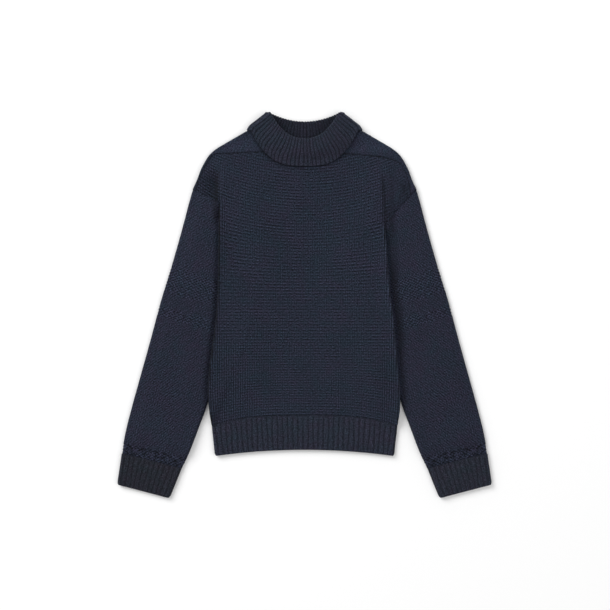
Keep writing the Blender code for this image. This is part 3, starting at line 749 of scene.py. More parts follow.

# %% [markdown]
# ## Painted shade and light, and where the stitches show differently
#
# Deep in a hollow the cloth gets less light than these thin layers let on, so shade is painted
# into its colour there: it is made a little darker. The folded sides, the armholes, the sleeves
# beside the body, the cuffs, the collar's mouth and the cloth under its edge get such painted
# shade, and the shoulders' crowns painted light. Beside the body's sides the columns of stitches
# show more than the rows. Such places are marks: one number for each point of the mesh, which the
# material reads as an attribute. A painted mask would do it as well, but a formula keeps its edge
# at any size.
#
# The mark `hollow` is painted shade: 0 on the open cloth, 1 would be black, and below 0 it is
# painted light.

# %% marks beside the body's sides, and painted shade on their folds
SIDE_COLUMNS_WIDTH = 0.016               # the columns of stitches show over this much
SIDE_COLUMNS_SOFT, SIDE_COLUMNS_OUT = 0.8, (0.005, -0.005)
SIDE_COLUMNS_MORE = (6.5, 2.5)           # and so many times more low down, left and right
SIDE_COLUMNS_LOW = (-0.03, -0.11)        # where "low down" begins, and over how much
SIDE_COLUMNS_END = (0.225, -0.03)
LEFT_FOLD_SHADE, RIGHT_FOLD_SHADE = 0.72, 0.03
RIGHT_FOLD_MORE, RIGHT_FOLD_FROM = 0.25, (0.145, 0.02)
FOLD_SHADE_IN, FOLD_SHADE_WIDTH = 0.0008, 0.0024
FOLD_BEGINS = 0.0006                     # a rise that is surely on the fold
SIDE_PAINTED_SHADING = dict(                        # painted shade and light: darker or lighter, as the side turns from the lamp
    left=((-0.20, -0.15, -0.02, 0.05, 0.12, 0.15, 0.19), (0.0, 0.05, 0.02, 0.03, 0.10, 0.07, 0.0)),
    right=((-0.21, -0.16, -0.08, 0.02, 0.08, 0.13, 0.17), (0.0, 0.09, 0.02, -0.07, -0.05, 0.0, 0.05)),
)
SIDE_TONE_FROM, SIDE_TONE_END = (0.125, 0.02), (0.225, -0.03)


def within(value, *steps):
    """The product of soft steps, each given as its start and its stretch."""
    share = 1.0
    for start, over in steps:
        share = share * past(value, start, over)
    return share


def beside_edge(x, y):
    """1 beside the body's side, 0 further in, and wider low down: two soft steps across."""
    width = SIDE_COLUMNS_WIDTH * (1 + by_side(x, *SIDE_COLUMNS_MORE) * past(y, *SIDE_COLUMNS_LOW))
    beyond = np.abs(x) - body_side(x, y)
    share = ease((beyond + width) / (SIDE_COLUMNS_SOFT * width)) * past(beyond, *SIDE_COLUMNS_OUT)
    return share * past(y, *SIDE_COLUMNS_END)


def fold_painted_shade(x, y, rise):
    """Painted shade on the folded side itself, and on the left a gauss of it on the last of the flat
    cloth before it.
    """
    near = gauss(body_side(x, y) - FOLD_SHADE_IN - np.abs(x), FOLD_SHADE_WIDTH) * side_fold(x, y)
    right = RIGHT_FOLD_SHADE + RIGHT_FOLD_MORE * past(y, *RIGHT_FOLD_FROM)
    return by_side(x, LEFT_FOLD_SHADE, right) * np.maximum(ease(rise / FOLD_BEGINS), near * (x < 0))


def side_painted_shading(x, y):
    """Painted shade and light: a smooth line of values along each side, eased in from the middle of the
    front.
    """
    tone = by_side(x, *(curve(y, *SIDE_PAINTED_SHADING[side]) for side in ("left", "right")))
    return tone * past(np.abs(x), *SIDE_TONE_FROM) * past(y, *SIDE_TONE_END)


print("the left fold is", LEFT_FOLD_SHADE, "dark and the right one", RIGHT_FOLD_SHADE)

# %% painted shade and plainness at the armholes
# Painted shade: depth is how dark each part is, and the rest says where it lies.
WIDE_PAINTED_SHADE = dict(depth=0.51, x=(-0.2000, 0.0400), power=1.3, inner=(-0.1540, -0.006),
                   y=((0.184, 0.008), (0.260, -0.040)))
CORE_PAINTED_SHADE = dict(depth=0.20, x=-0.162, width=0.005, y=((0.186, 0.006), (0.250, -0.020)))
LINE_PAINTED_SHADE = dict(depth=0.56, x=0.1443, y=0.2117, lean=0.078, inner=0.0018, outer=0.0042,
                   wider=0.0020, wider_y=(0.195, -0.030), ends=((0.146, 0.006), (0.250, -0.030)))
DIMPLE_PAINTED_SHADE, DIMPLE = 0.42, (0.1842, 0.2108, 0.015, 0.0065, 100)
BOLD_ROWS, BOLD_X, BOLD_Y = -0.7, (-0.154, -0.006), (0.185, 0.01)
FAINT_ROWS, FAINT_X, FAINT_Y = 0.65, (0.150, 0.006), (0.160, 0.02)
WING_TOP = (0.262, -0.02)


def wing_painted_shade(x, y):
    """Painted shade at the armholes. At the left one a wide hollow, a power of the way in, that
    deepens towards the body's side. At the right one the line of that side running on up, with a
    gauss on both sides of it, and a dark dimple by the seam."""
    wide, core, line = WIDE_PAINTED_SHADE, CORE_PAINTED_SHADE, LINE_PAINTED_SHADE
    inwards = np.clip((x - wide["x"][0]) / wide["x"][1], 0, 1) ** wide["power"]
    left = wide["depth"] * inwards * past(x, *wide["inner"]) * within(y, *wide["y"])
    left = left + core["depth"] * gauss(x - core["x"], core["width"]) * within(y, *core["y"])
    from_line = x - line["x"] - line["lean"] * (line["y"] - y)
    inner = line["inner"] + line["wider"] * past(y, *line["wider_y"])
    right = line["depth"] * gauss(from_line, np.where(from_line < 0, inner, line["outer"]))
    return left + right * within(y, *line["ends"]) + DIMPLE_PAINTED_SHADE * bell(x, y, *DIMPLE)


def wing_plainness(x, y):
    """The rows show more than elsewhere at the left armhole and less at the right one."""
    left = BOLD_ROWS * past(x, *BOLD_X) * past(y, *BOLD_Y)
    right = FAINT_ROWS * past(x, *FAINT_X) * past(y, *FAINT_Y)
    return (left + right) * past(y, *WING_TOP)


print("the dimple is", DIMPLE_PAINTED_SHADE, "dark")

# %% painted shadow under the collar
COLLAR_EDGE_HALF, COLLAR_EDGE_POWER = 0.1002, 3.1
COLLAR_EDGE_Y, COLLAR_EDGE_DROP = 0.3203, 0.0653
COLLAR_EDGE_END = 0.012                  # the shadow goes on past the edge's corner by this
SHADOW_LINE, SHADOW_LINE_WIDTH = (0.52, 0.22), 0.0030
SHADOW_SOFT, SHADOW_SOFT_WIDTH = 0.08, 0.009


def collar_shadow(x, y):
    """Painted shadow right under the collar's free edge: two gausses of the distance below it, which is
    the distance straight down divided by the root of 1 + the edge's slope squared."""
    share = np.minimum(np.abs(x) / COLLAR_EDGE_HALF, 1)
    edge = COLLAR_EDGE_Y - COLLAR_EDGE_DROP * (1 - share ** COLLAR_EDGE_POWER)
    slope = COLLAR_EDGE_DROP * COLLAR_EDGE_POWER / COLLAR_EDGE_HALF * share ** (COLLAR_EDGE_POWER - 1)
    below = np.maximum((edge - y) / np.sqrt(1 + slope ** 2), 0)
    shade = by_side(x, *SHADOW_LINE) * gauss(below, SHADOW_LINE_WIDTH)
    shade = shade + SHADOW_SOFT * gauss(below, SHADOW_SOFT_WIDTH)
    return shade * (np.abs(x) < COLLAR_EDGE_HALF + COLLAR_EDGE_END)


print("the collar's shadow is", SHADOW_LINE, "dark, left and right")

# %% front panel
# How deep these seams are drawn, against the shoulders' and the neck's.
ARMHOLE_SEAM = dict(left=0.40, right=0.15)
HEM_SEAM = 0.6
CUFF_SEAM = 0.35
SEAM_BELOW_NOTCH, SEAM_START = 0.004, 0.01


def front_panel():
    """The lower and the upper rows in one grid, at the front's level, with its soft folds."""
    x, y, rise = (np.concatenate(pair) for pair in zip(lower_grid(), upper_front_grid()))
    z = front_level(x, y) - rise + front_folds(x, y)
    middle = np.stack([x, y, z], axis=-1)
    across, up = run_along(middle, 1), run_along(middle, 0)
    centre = across[:, [across.shape[1] // 2]]
    edge = np.minimum(across, across[:, -1:] - across)
    above_notch = past(y, by_side(x, *NOTCH_Y.values()) - SEAM_BELOW_NOTCH, SEAM_START)
    groove = np.maximum(seam_groove(up[-1] - up), HEM_SEAM * seam_groove(up))
    groove = np.maximum(groove, by_side(x, *ARMHOLE_SEAM.values()) * seam_groove(edge) * above_notch)
    # painted shade and light: the armholes, the folded sides, the sides' shading and the collar's shadow
    hollow = np.maximum(wing_painted_shade(x, y), fold_painted_shade(x, y, rise))
    hollow = hollow + side_painted_shading(x, y) + collar_shadow(x, y)
    marks = {"seam": groove / SEAM_DEPTH, "side": beside_edge(x, y), "plain": wing_plainness(x, y),
             "hollow": hollow}
    return knit_wall("front_knit", middle, KNIT_WALL / 2 - groove, KNIT_WALL / 2,
                     body_flat(x, y, across - centre), marks)


made = {"front_panel": front_panel()}
# %% [markdown]
# ## The back panel
#
# The back is the same cloth with its sides folded up. Above the armholes it goes on over the
# shoulders and comes down on the front side as far as the forward seam. It could be cut into a
# back and two yokes, but the real one is knitted in one piece. So its upper rows just have more
# columns than its lower ones: round the shoulder's fold, and in over the front.

# %% over the shoulder
STRIP_COLUMNS = 9
STRIP_CROWDING = 1.4     # the columns lie closer towards the seam
CROWN_LIGHT = 0.30       # painted light: the crown of the shoulder is a little lighter
CROWN_FROM = (0.268, 0.020)


def strip_columns(side, t):
    """x, y and drop from the front's level for the columns from the fold's outermost line
    round its upper quarter, an ellipse again, and straight on to the front seam."""
    edge_x, edge_y, seam_x, seam_y, last = (a[:, None] for a in shoulder_line(side, t))
    angle = np.linspace(math.pi / 2, 0, FOLD_COLUMNS + 1)[1:]
    length = np.hypot(seam_x - edge_x, seam_y - edge_y)
    rounding = FOLD_RADIUS * (1 - np.sin(angle)) / length
    share = 1 - (1 - np.linspace(0, 1, STRIP_COLUMNS + 1)[1:]) ** STRIP_CROWDING
    flat_run = (FOLD_RADIUS + share * (length - FOLD_RADIUS)) / length
    way = np.concatenate([rounding, flat_run], axis=1)
    x, y = blend(edge_x, seam_x, way), blend(edge_y, seam_y, way)
    round_neck = np.maximum(y, neck_y(x, FRONT_NECK_DROP))
    y = blend(y, round_neck, last * (way < 1))
    drop = np.concatenate([EDGE_STACK / 2 * (1 - np.cos(angle)), np.zeros(STRIP_COLUMNS)])
    return x, y, np.broadcast_to(drop, x.shape)


def strip_points(side, sign, t):
    """These columns at the front's level, and their flat places: the plan of the front part,
    mirrored in the line of the fold."""
    x, y, drop = strip_columns(side, t)
    z = front_level(sign * x, y) - drop + front_folds(sign * x, y)
    points = np.stack([sign * x, y, z], axis=-1)
    edge_x, edge_y = shoulder_line(side, t)[:2]
    fold = np.stack([sign * edge_x, edge_y], axis=1)
    along = unit(np.gradient(fold, axis=0) + np.array([0.0, 1e-9]))[:, None]
    off = points[..., :2] - fold[:, None]
    return points, fold[:, None] + 2 * (off * along).sum(axis=-1, keepdims=True) * along - off


def shoulder_shade(x, y, on_shoulder):
    """The front's painted shade goes on over the seam, and the crown gets painted light."""
    shade = wing_painted_shade(x, y) + collar_shadow(x, y) - CROWN_LIGHT * past(y, *CROWN_FROM)
    return (on_shoulder >= 0) * shade


print(2 * (STRIP_COLUMNS + FOLD_COLUMNS), "more columns over the shoulders")

# %% back panel
BACK_WING_ROWS = 14
CURL_FROM, CURL_OVER = 0.7, 0.3


def upper_back_grid():
    """The rows from the armholes' feet to the back of the neck, and how far up the shoulder
    each row is, in rungs. They sag as the square of the way up."""
    lengths = np.hypot(np.diff(SHOULDER["edge_x"]), np.diff(SHOULDER["edge_y"]))
    passed = np.concatenate([[0], np.cumsum(lengths)])
    along_edge = rows_between(passed[-1], fine_start=False)
    rung = np.interp(along_edge * passed[-1], passed, np.arange(LAST_RUNG + 1))
    wing = np.linspace(0, 1, BACK_WING_ROWS + 2)[1:-1]
    reach, side_y = {}, {}
    for side in ("left", "right"):
        edge_x, edge_y = shoulder_line(side, rung)[:2]
        line_x, line_y = armhole_point(side, wing)
        reach[side] = np.concatenate([np.maximum(line_x, notch_point(side)[0]), edge_x])
        side_y[side] = np.concatenate([line_y, edge_y])
    x, share, rise = panel_columns(reach)
    sag = BACK_NECK_DROP * (np.concatenate([wing * 0, rung]) / LAST_RUNG) ** 2
    y = between_sides(side_y, share) - sag[:, None] * (1 - np.abs(share) ** NECK_POWER)
    curl = past(np.concatenate([wing, rung + 1]), CURL_FROM, CURL_OVER)
    return x, y, rise * curl[:, None], np.concatenate([wing - 1, rung])


def back_panel():
    """The back's rows with the strips over the shoulders beside them. Below the shoulders the
    strips' squares are left out."""
    low_x, low_y, low_rise = lower_grid()
    high_x, high_y, high_rise, rung = upper_back_grid()
    x, y = np.concatenate([low_x, high_x]), np.concatenate([low_y, high_y])
    z = back_level(x, y) + np.concatenate([low_rise, high_rise])
    on_shoulder = np.concatenate([np.full(len(low_x), -1.0), rung])
    left, left_flat = strip_points("left", -1, np.maximum(on_shoulder, 0))
    right, right_flat = strip_points("right", 1, np.maximum(on_shoulder, 0))
    middle = np.concatenate([left[:, ::-1], np.stack([x, y, z], axis=-1), right], axis=1)
    x, y, on_shoulder = middle[..., 0], middle[..., 1], on_shoulder[:, None]
    rows, columns = x.shape
    extra = STRIP_COLUMNS + FOLD_COLUMNS
    present = np.ones((rows - 1, columns - 1), bool)
    below = on_shoulder[:-1, 0] < 0
    present[below, :extra] = present[below, -extra:] = False
    across, up = run_along(middle, 1), run_along(middle, 0)
    across = across - across[:, [columns // 2]]
    from_seam = np.minimum(across - across[:, :1], across[:, -1:] - across)
    from_side = np.minimum(across - across[:, [extra]], across[:, [-extra - 1]] - across)
    wing = (on_shoulder < 0) & (y > by_side(x, *NOTCH_Y.values()))
    groove = seam_groove(from_seam) * (on_shoulder >= 0)
    groove = np.maximum(groove, seam_groove(np.abs(from_side)) * wing)
    groove = np.maximum(groove, seam_groove(up[:, [columns // 2]]))
    flat = body_flat(x, y, across)
    flat[:, :extra], flat[:, -extra:] = left_flat[:, ::-1], right_flat
    # the mark hollow carries painted shade and light over the shoulders
    marks = {"seam": groove / SEAM_DEPTH, "side": beside_edge(x, y), "plain": ease(on_shoulder + 1),
             "hollow": shoulder_shade(x, y, on_shoulder)}
    underside = KNIT_WALL / 2 - np.minimum(groove, KNIT_WALL / 4)
    return knit_wall("back_knit", middle, KNIT_WALL / 2, underside, flat, marks, present=present)


made["back_panel"] = back_panel()

# %% [markdown]
# ## Tubes that lie flat
#
# A sleeve, a cuff and the hem rib are tubes. Pressed flat they have a lower layer on the table, an
# upper one on it, and a round fold at each side. The fold stands a little higher than two
# layers do, because thick knit doesn't crease sharply. A squashed cylinder would do for a
# straight tube, but these taper and turn, so each row is laid out between its own two edges.

# %% flat tube


def flat_tube(start, end, wall, stack, start_stack, end_stack, around):
    """Points round a flat tube between two edge points in plan, one row for each pair. around
    goes from the lower layer's end to its start, over the start's fold, back along the upper
    layer and over the end's fold. The flat parts are straight and the folds half circles, and a
    gauss leads from their height to the stack's. Also returned: the length round, from the
    start's fold, and where the upper layer is."""
    start, end = np.asarray(start), np.asarray(end)
    length = np.linalg.norm(end - start, axis=1)[:, None]
    heading = (end - start)[:, None] / length[..., None]
    start_r = np.broadcast_to(start_stack, len(start))[:, None] / 2
    end_r = np.broadcast_to(end_stack, len(start))[:, None] / 2
    first, last = wall / 2 + start_r, length - wall / 2 - end_r
    flat = last - first
    passed = around[None, :] * (2 * flat + math.pi * (start_r + end_r))
    over_start = flat + math.pi * start_r
    a = math.pi - np.clip((passed - flat) / start_r, 0, math.pi)
    b = math.pi - np.clip((passed - over_start - flat) / end_r, 0, math.pi)
    top = first + (passed - over_start)
    swell = (2 * start_r - stack) * gauss(top - first, CREASE)
    swell = swell + (2 * end_r - stack) * gauss(last - top, CREASE)
    parts = [passed < flat, passed < over_start, passed < over_start + flat]
    across = np.select(parts, [last - passed, first - start_r * np.sin(a), top],
                       last + end_r * np.sin(b))
    lift = np.select(parts, [0 * passed, start_r * (1 + np.cos(a)), stack + swell],
                     end_r * (1 - np.cos(b)))
    plan = start[:, None] + heading * across[..., None]
    points = np.concatenate([plan, (wall / 2 + lift)[..., None]], axis=-1)
    return points, passed - flat - math.pi * start_r / 2, parts[2] & ~parts[1]


def lapped(across, up, lap):
    """The flat places of a tube's columns, and once more the first one's, a whole round on."""
    first = np.stack([lap, up[:, :1]], axis=-1)
    return np.concatenate([np.stack([across, up], axis=-1), first], axis=1)


print("a folded edge is", round((EDGE_STACK + KNIT_WALL) * 1000, 1), "mm high")

# %% [markdown]
# ## Ribs: the hem and the cuffs
#
# The ribs run down the tube and their grooves are cut by the number of ribs passed on the way
# round. They could be modelled once and repeated with an array, but real ones are never quite
# straight. So each drifts a little on its way down, by two sine waves multiplied.

# %% ribbed tube
RIB_PITCH = 0.0096       # two knit columns and one purl column on the flat cloth
RIB_SAMPLES = 8          # columns of the grid for each rib
RIB_START = 0.25         # of a rib lies before the first column
RIB_DRIFT = 0.10         # of a rib
DRIFT_DOWN, DRIFT_SHIFT, DRIFT_ROUND = 90, 0.9, 2.3    # radians a metre down, and a rib round
RIB_PUFF = 0.0008
RIB_UNEVEN, RIB_UNEVEN_SEED, RIB_UNEVEN_SIZE = 0.5, 21, 0.07
GROOVE_FADE = 0.004      # no groove on the seam itself
CORNER_PINCH = 0.0022    # a free corner is rounded in by this
PINCH_FROM = (0.90, 0.10)
DUSK_HUE = 6.0           # in the painted shade (dusk) the yarn's blue goes, and this much faster than its light


def rib_wobble(turn, along):
    """How far a rib drifts, as a share of one: a sine down it, times a sine from rib to rib."""
    return RIB_DRIFT * np.sin(along * DRIFT_DOWN + turn * DRIFT_SHIFT) * np.sin(turn * DRIFT_ROUND)


def rib_tube(name, start, end, shares, ribs, facing, bend=None, seam_share=CUFF_SEAM, strength=1.0,
             gutter_share=1.0, dusk=0.0):
    """A ribbed flat tube whose rows go from one pair of edge points to another: straight blends
    by the shares of the way down, a half sine of fullness, and its free corners pinched in."""
    around = np.arange(ribs * RIB_SAMPLES) / (ribs * RIB_SAMPLES)
    corner = CORNER_PINCH * past(shares, *PINCH_FROM)[:, None] ** 2
    a, b = (blend(np.array(start[i]), np.array(end[i]), shares[:, None]) for i in (0, 1))
    inward = unit(b - a)
    a, b = a + inward * corner, b - inward * corner
    middle, round_, top = flat_tube(a, b, RIB_WALL, RIB_STACK, EDGE_STACK, EDGE_STACK, around)
    if bend is not None:
        middle[..., 1] = bend(middle[..., 0], shares[:, None])
    x, y = middle[..., 0], middle[..., 1]
    uneven = 1 + RIB_UNEVEN * waves(x, y, RIB_UNEVEN_SEED, RIB_UNEVEN_SIZE)
    middle[..., 2] += top * RIB_PUFF * np.sin(math.pi * shares)[:, None] * uneven
    down = run_along(middle, 0)
    passed = around[None, :] * ribs
    turn = passed + RIB_START + rib_wobble(passed, down)
    cut = rib_groove(turn) * strength * ease(down / GROOVE_FADE)
    seam = seam_share * seam_groove(down)
    free_edge = round_edge(down[-1] - down, RIB_WALL)
    outside = np.maximum(cut, seam) * (1 - free_edge / RIB_WALL) + free_edge
    flat = lapped(turn, -down, turn[:, :1] + ribs) * np.array([RIB_PITCH, 1.0])
    # painted shade: dusk darkens the cuff through the mark hollow and warms its colour
    marks = {"seam": seam / SEAM_DEPTH, "gutter": gutter_share * cut / RIB_DEPTH,
             "hollow": dusk, "dusk": DUSK_HUE * dusk}
    return knit_wall(name, middle, RIB_WALL / 2 - outside, RIB_WALL / 2 - free_edge, flat, marks, facing,
                     wrapped=True)


print("a rib is", RIB_PITCH * 1000, "mm wide and drifts by up to", RIB_DRIFT, "of that")

# %% hem
HEM_RIBS = 72
HEM_HEIGHT = 0.060
RIB_ROW_STEP = 0.0028
HEM_GUTTER = 0.84        # the gutters of the hem are stretched open and get less painted shade


def hem_bend(x, share):
    """The rows of the hem: arched like its seam at the top, and at its free edge a parabola."""
    half = blend(HEM_TOP_HALF, HEM_LOW_HALF, share)
    top = hem_seam_y(np.minimum(np.abs(x) / HEM_SEAM_HALF, 1)) + SEW
    low = HEM_EDGE_Y + HEM_EDGE_ARCH * (1 - (x / half) ** 2)
    return blend(top, low, share)


def hem_rib():
    """A ribbed tube between the hem's two half widths."""
    start, end = ([(-half, 0.0), (half, 0.0)] for half in (HEM_TOP_HALF, HEM_LOW_HALF))
    return rib_tube("hem_rib_knit", start, end, rows_between(HEM_HEIGHT, RIB_ROW_STEP), HEM_RIBS, -1,
                    bend=hem_bend, seam_share=HEM_SEAM, gutter_share=HEM_GUTTER)


made["hem_rib"] = hem_rib()

# %% cuffs
CUFF_RIBS = 24
CUFF_TOP = ((0.3372, -0.2742), (0.2262, -0.3020))     # outer and inner corner at the seam
CUFF_LOW = ((0.3455, -0.3314), (0.2485, -0.3568))
CUFF_HEIGHT = 0.056
CUFF_GROOVES = 0.75      # shallower than the hem's, as a cuff is stretched more
# Painted shade over each whole cuff, which also turns it warmer.
CUFF_DUSK = dict(left=0.22, right=0.09)


def cuff(side, sign):
    """A ribbed tube between the cuff's four corners."""
    flip = np.array([sign, 1.0])
    start = [np.array(p) * flip + (0, SEW) for p in CUFF_TOP]
    end = [np.array(p) * flip for p in CUFF_LOW]
    return rib_tube("cuff_rib_" + side, start, end, rows_between(CUFF_HEIGHT), CUFF_RIBS, sign,
                    strength=CUFF_GROOVES, dusk=CUFF_DUSK[side])


print("a cuff has", CUFF_RIBS, "ribs")

# %% [markdown]
# ## The collar
#
# The collar is one ribbed tube. It rises from the neck seam as a stand, rolls over, and its
# upper half hangs down outside again. Laid flat, the back of the fold lies on the table and
# the front lies on the chest, so the mouth gapes between them. The ribs fan out from the mouth,
# because the free edge is longer than the fold.
#
# A screw or a spin would make round rings. These are flattened ones, so each ring is given by
# its half width, the height of its sides in the picture, how far its front and its back hang
# below them, and how square its front is.

# %% rings of the collar
STAND = dict(rise=(0.0, 0.25, 0.6, 1.0), half=(0.0825, 0.0790, 0.0740, 0.0685),
             side_y=(0.3320, 0.3350, 0.3420, 0.3500), front_drop=(0.0628, 0.0560, 0.0520, 0.0482),
             back_drop=(0.0310, 0.0250, 0.0205, 0.0160), front_power=(2.4, 2.4, 2.4, 2.4))
TURNED = dict(rise=(0.0, 0.25, 0.5, 0.78, 1.0), half=(0.0685, 0.0752, 0.0855, 0.0965, 0.1012),
              side_y=(0.3500, 0.3450, 0.3370, 0.3282, COLLAR_EDGE_Y),
              front_drop=(0.0482, 0.0550, 0.0590, 0.0622, COLLAR_EDGE_DROP),
              back_drop=(0.0160, 0.0210, 0.0270, 0.0302, 0.0328),
              front_power=(2.4, 2.45, 2.6, 2.85, COLLAR_EDGE_POWER))
STAND_FRONT_Z, STAND_BACK_Z = 0.0158, 0.00605
BACK_POWER = 2.0


def ring_at(table, rise):
    """The ring's measures at a share of the way up, or down the turned half."""
    return {key: curve(rise, table["rise"], table[key])[:, None] for key in table if key != "rise"}


def collar_rings(ring, z_front, z_back, tip, spread, q):
    """Points round the collar, one row for each ring. q goes 0 to 1 over the front from left to
    right, to 2 round the right end, to 3 back behind and to 4 round the left end. Front and back
    hang as 1 less a power of the way out, and the ends are half circles from one to the other."""
    half = ring["half"] + spread
    end_front, end_back = z_front(half, ring["side_y"]), z_back(half, ring["side_y"])
    radius = (end_front - end_back) / 2 + spread
    centre, straight = (end_front + end_back) / 2, half - radius
    q = np.broadcast_to(q[None, :], (len(half), len(q)))
    front, behind = q < 1, (q >= 2) & (q < 3)
    angle = np.where(q < 2, q - 1, q - 3) * math.pi
    side = np.where(q < 2, 1.0, -1.0)
    x = np.select([front, behind], [straight * (2 * q - 1), straight * (1 - 2 * (q - 2))],
                  side * (straight + radius * np.sin(angle)))
    inner = np.minimum(np.abs(x) / straight, 1)
    drop = np.where(q < 2, ring["front_drop"] * (1 - inner ** ring["front_power"]),
                    ring["back_drop"] * (1 - inner ** BACK_POWER))
    y = ring["side_y"] - drop + tip
    z = np.select([front, behind], [z_front(x, y) + spread, z_back(x, y) - spread],
                  centre + side * radius * np.cos(angle))
    return np.stack([x, y, z], axis=-1)


print("the fold of the collar is", 2 * TURNED["half"][0], "m wide")

# %% stand, fold and turned half


def stand_rings(rise, q):
    """From the neck seam up: blends of the cloth's level there and the level of the fold."""
    level = ease(rise)[:, None]

    def z_front(x, y):
        return blend(front_level(x, y) + RIB_WALL - KNIT_WALL, STAND_FRONT_Z, level)

    def z_back(x, y):
        return blend(back_level(x, neck_y(x, BACK_NECK_DROP)), STAND_BACK_Z, rise[:, None])

    tip = NECK_SEAM_RISE * (1 - rise)[:, None]
    return collar_rings(ring_at(STAND, rise), z_front, z_back, tip, 0.0, q)


def fold_rings(angle, q):
    """The fold at the top: half a circle from the stand over to the turned-down half."""
    ring = ring_at(STAND, np.ones_like(angle))
    radius, a = RIB_STACK / 2, angle[:, None]
    return collar_rings(ring, lambda x, y: STAND_FRONT_Z + 0 * x, lambda x, y: STAND_BACK_Z + 0 * x,
                        radius * np.sin(a), radius * (1 - np.cos(a)), q)


def turned_rings(rise, q):
    """From the fold down: a blend of the fold's level and the chest's."""
    ring = ring_at(TURNED, rise)
    ring["half"] = ring["half"] + RIB_STACK
    level, folded_z = ease(rise)[:, None], STAND_FRONT_Z + RIB_STACK

    def z_front(x, y):
        return blend(folded_z, front_level(x, y) + (KNIT_WALL + RIB_WALL) / 2 + LAY_GAP, level)

    return collar_rings(ring, z_front, lambda x, y: RIB_WALL / 2 + 0 * x, 0.0, 0.0, q)


print("the free edge of the collar is", 2 * TURNED["half"][-1], "m wide")

# %% collar
COLLAR_PITCH = 0.0077
EVEN_RING = 0.75         # the ribs are evenly wide on this ring of the turned half
STAND_HEIGHT, TURNED_HEIGHT = 0.040, 0.055
FOLD_RINGS = 7
ROLL_FULLNESS = 0.0020   # the fold at the top is a soft roll
ROLL_SIDES = 1.3, 1.5    # full up to the middle of each half of the front, then less
ROLL_END = 0.8           # share of the way down where it ends
ROLL_UNEVEN, ROLL_SEED, ROLL_SIZE = 0.4, 31, 0.06
INSIDE_GROOVES = 0.7     # the ribs seen from behind
COLLAR_LIGHT = 0.08      # painted light: the turned-over part lies higher and catches more light
# Painted shade inside the collar's mouth: how dark in the middle, how much more at the sides, and over
# what half width.
MOUTH_DARK, MOUTH_SIDE_DARK, MOUTH_HALF = 0.18, 0.18, 0.05


def even_ring(q):
    """The ring on which the ribs are even."""
    return turned_rings(np.array([EVEN_RING]), q)


def even_columns(count):
    """Values of q that are evenly spaced along that ring, and its length."""
    q = np.linspace(0, 4, 4001)
    passed = run_along(even_ring(q), 1)[0]
    return np.interp(np.arange(count) / count * passed[-1], passed, q), passed[-1]


def collar_middle(q):
    """The rows of the stand, of the fold and of the turned half, which puffs up as a squared
    sine of the way down, over the front only; and how deep each row is in the mouth, 1 to 0."""
    stand = stand_rings(rows_between(STAND_HEIGHT, RIB_ROW_STEP, fine_end=False), q)
    fold = fold_rings(np.linspace(0, math.pi, FOLD_RINGS + 2)[1:-1], q)
    hanging = rows_between(TURNED_HEIGHT, fine_start=False)
    turned = turned_rings(hanging, q)
    front = (q < 1) * ease(ROLL_SIDES[0] - np.abs(q - 0.5) * ROLL_SIDES[1])
    roll = ROLL_FULLNESS * np.sin(math.pi * np.clip(hanging / ROLL_END, 0, 1)) ** 2
    uneven = 1 + ROLL_UNEVEN * waves(turned[..., 0], turned[..., 1], ROLL_SEED, ROLL_SIZE)
    turned[..., 2] += roll[:, None] * front * uneven
    inside = [np.full(len(stand), 1.0), np.linspace(1, 0, len(fold)), np.zeros(len(turned))]
    return np.concatenate([stand, fold, turned]), np.concatenate(inside)[:, None]


def collar():
    """One wall through all the rows. Its ribs show on both faces, half a rib apart."""
    length = even_columns(1)[1]
    ribs = round(length / COLLAR_PITCH)
    print(ribs, "ribs round the collar, which is", round(length, 3), "m round near its free edge")
    middle, inside = collar_middle(even_columns(ribs * RIB_SAMPLES)[0])
    up = run_along(middle, 0)
    passed = np.arange(ribs * RIB_SAMPLES)[None, :] / RIB_SAMPLES
    turn = passed + rib_wobble(passed, up)
    free_edge = round_edge(up[-1] - up, RIB_WALL)
    left = 1 - free_edge / RIB_WALL
    cut = rib_groove(turn) * ease(up / GROOVE_FADE)
    shown = RIB_WALL / 2 - cut * left - free_edge
    hidden = RIB_WALL / 2 - INSIDE_GROOVES * rib_groove(turn + 0.5) * left - free_edge
    flat = lapped(turn, up, turn[:, :1] + ribs) * np.array([RIB_PITCH, 1.0])
    # painted shade deep in the mouth, and painted light on the turned-over part
    deep = MOUTH_DARK + MOUTH_SIDE_DARK * np.minimum(np.abs(middle[..., 0]) / MOUTH_HALF, 1)
    marks = {"seam": seam_groove(up) / SEAM_DEPTH, "gutter": cut / RIB_DEPTH,
             "hollow": inside * (deep + COLLAR_LIGHT) - COLLAR_LIGHT}
    return knit_wall("collar_rib", middle, hidden, shown, flat, marks, wrapped=True)


made["collar"] = collar()

# %% [markdown]
# ## The sleeves
#
# A sleeve runs from the armhole, where it lies tucked under the body's side, down to the cuff.
# Its outer edge is a fold all the way and its inner edge comes out from under the body above
# the hem. Its upper layer puffs up between its fold and the body's side, and at the armhole it
# rises to meet the front panel. Sculpting could do this as well. Here a few soft steps, each
# with its own width, keep the height under control.
#
# Three bands round each sleeve are knitted in seed stitch: small knobs in a checkerboard, as
# high as the yarn is thick. They are cut into the face like the ribs.

# %% rows and bands of the sleeves
TUCKED_STACK = STACK + 0.0003
SLEEVE_OUT = (-0.200, -0.030)      # the inner edge comes out from under the body here
SLEEVE_LENGTH = 0.484
SLEEVE_COLUMNS = 168
SLEEVE_STEP, BAND_STEP = 0.0032, 0.0014
TOP_OUTER_Y, TOP_INNER_Y = 0.2102, 0.1604
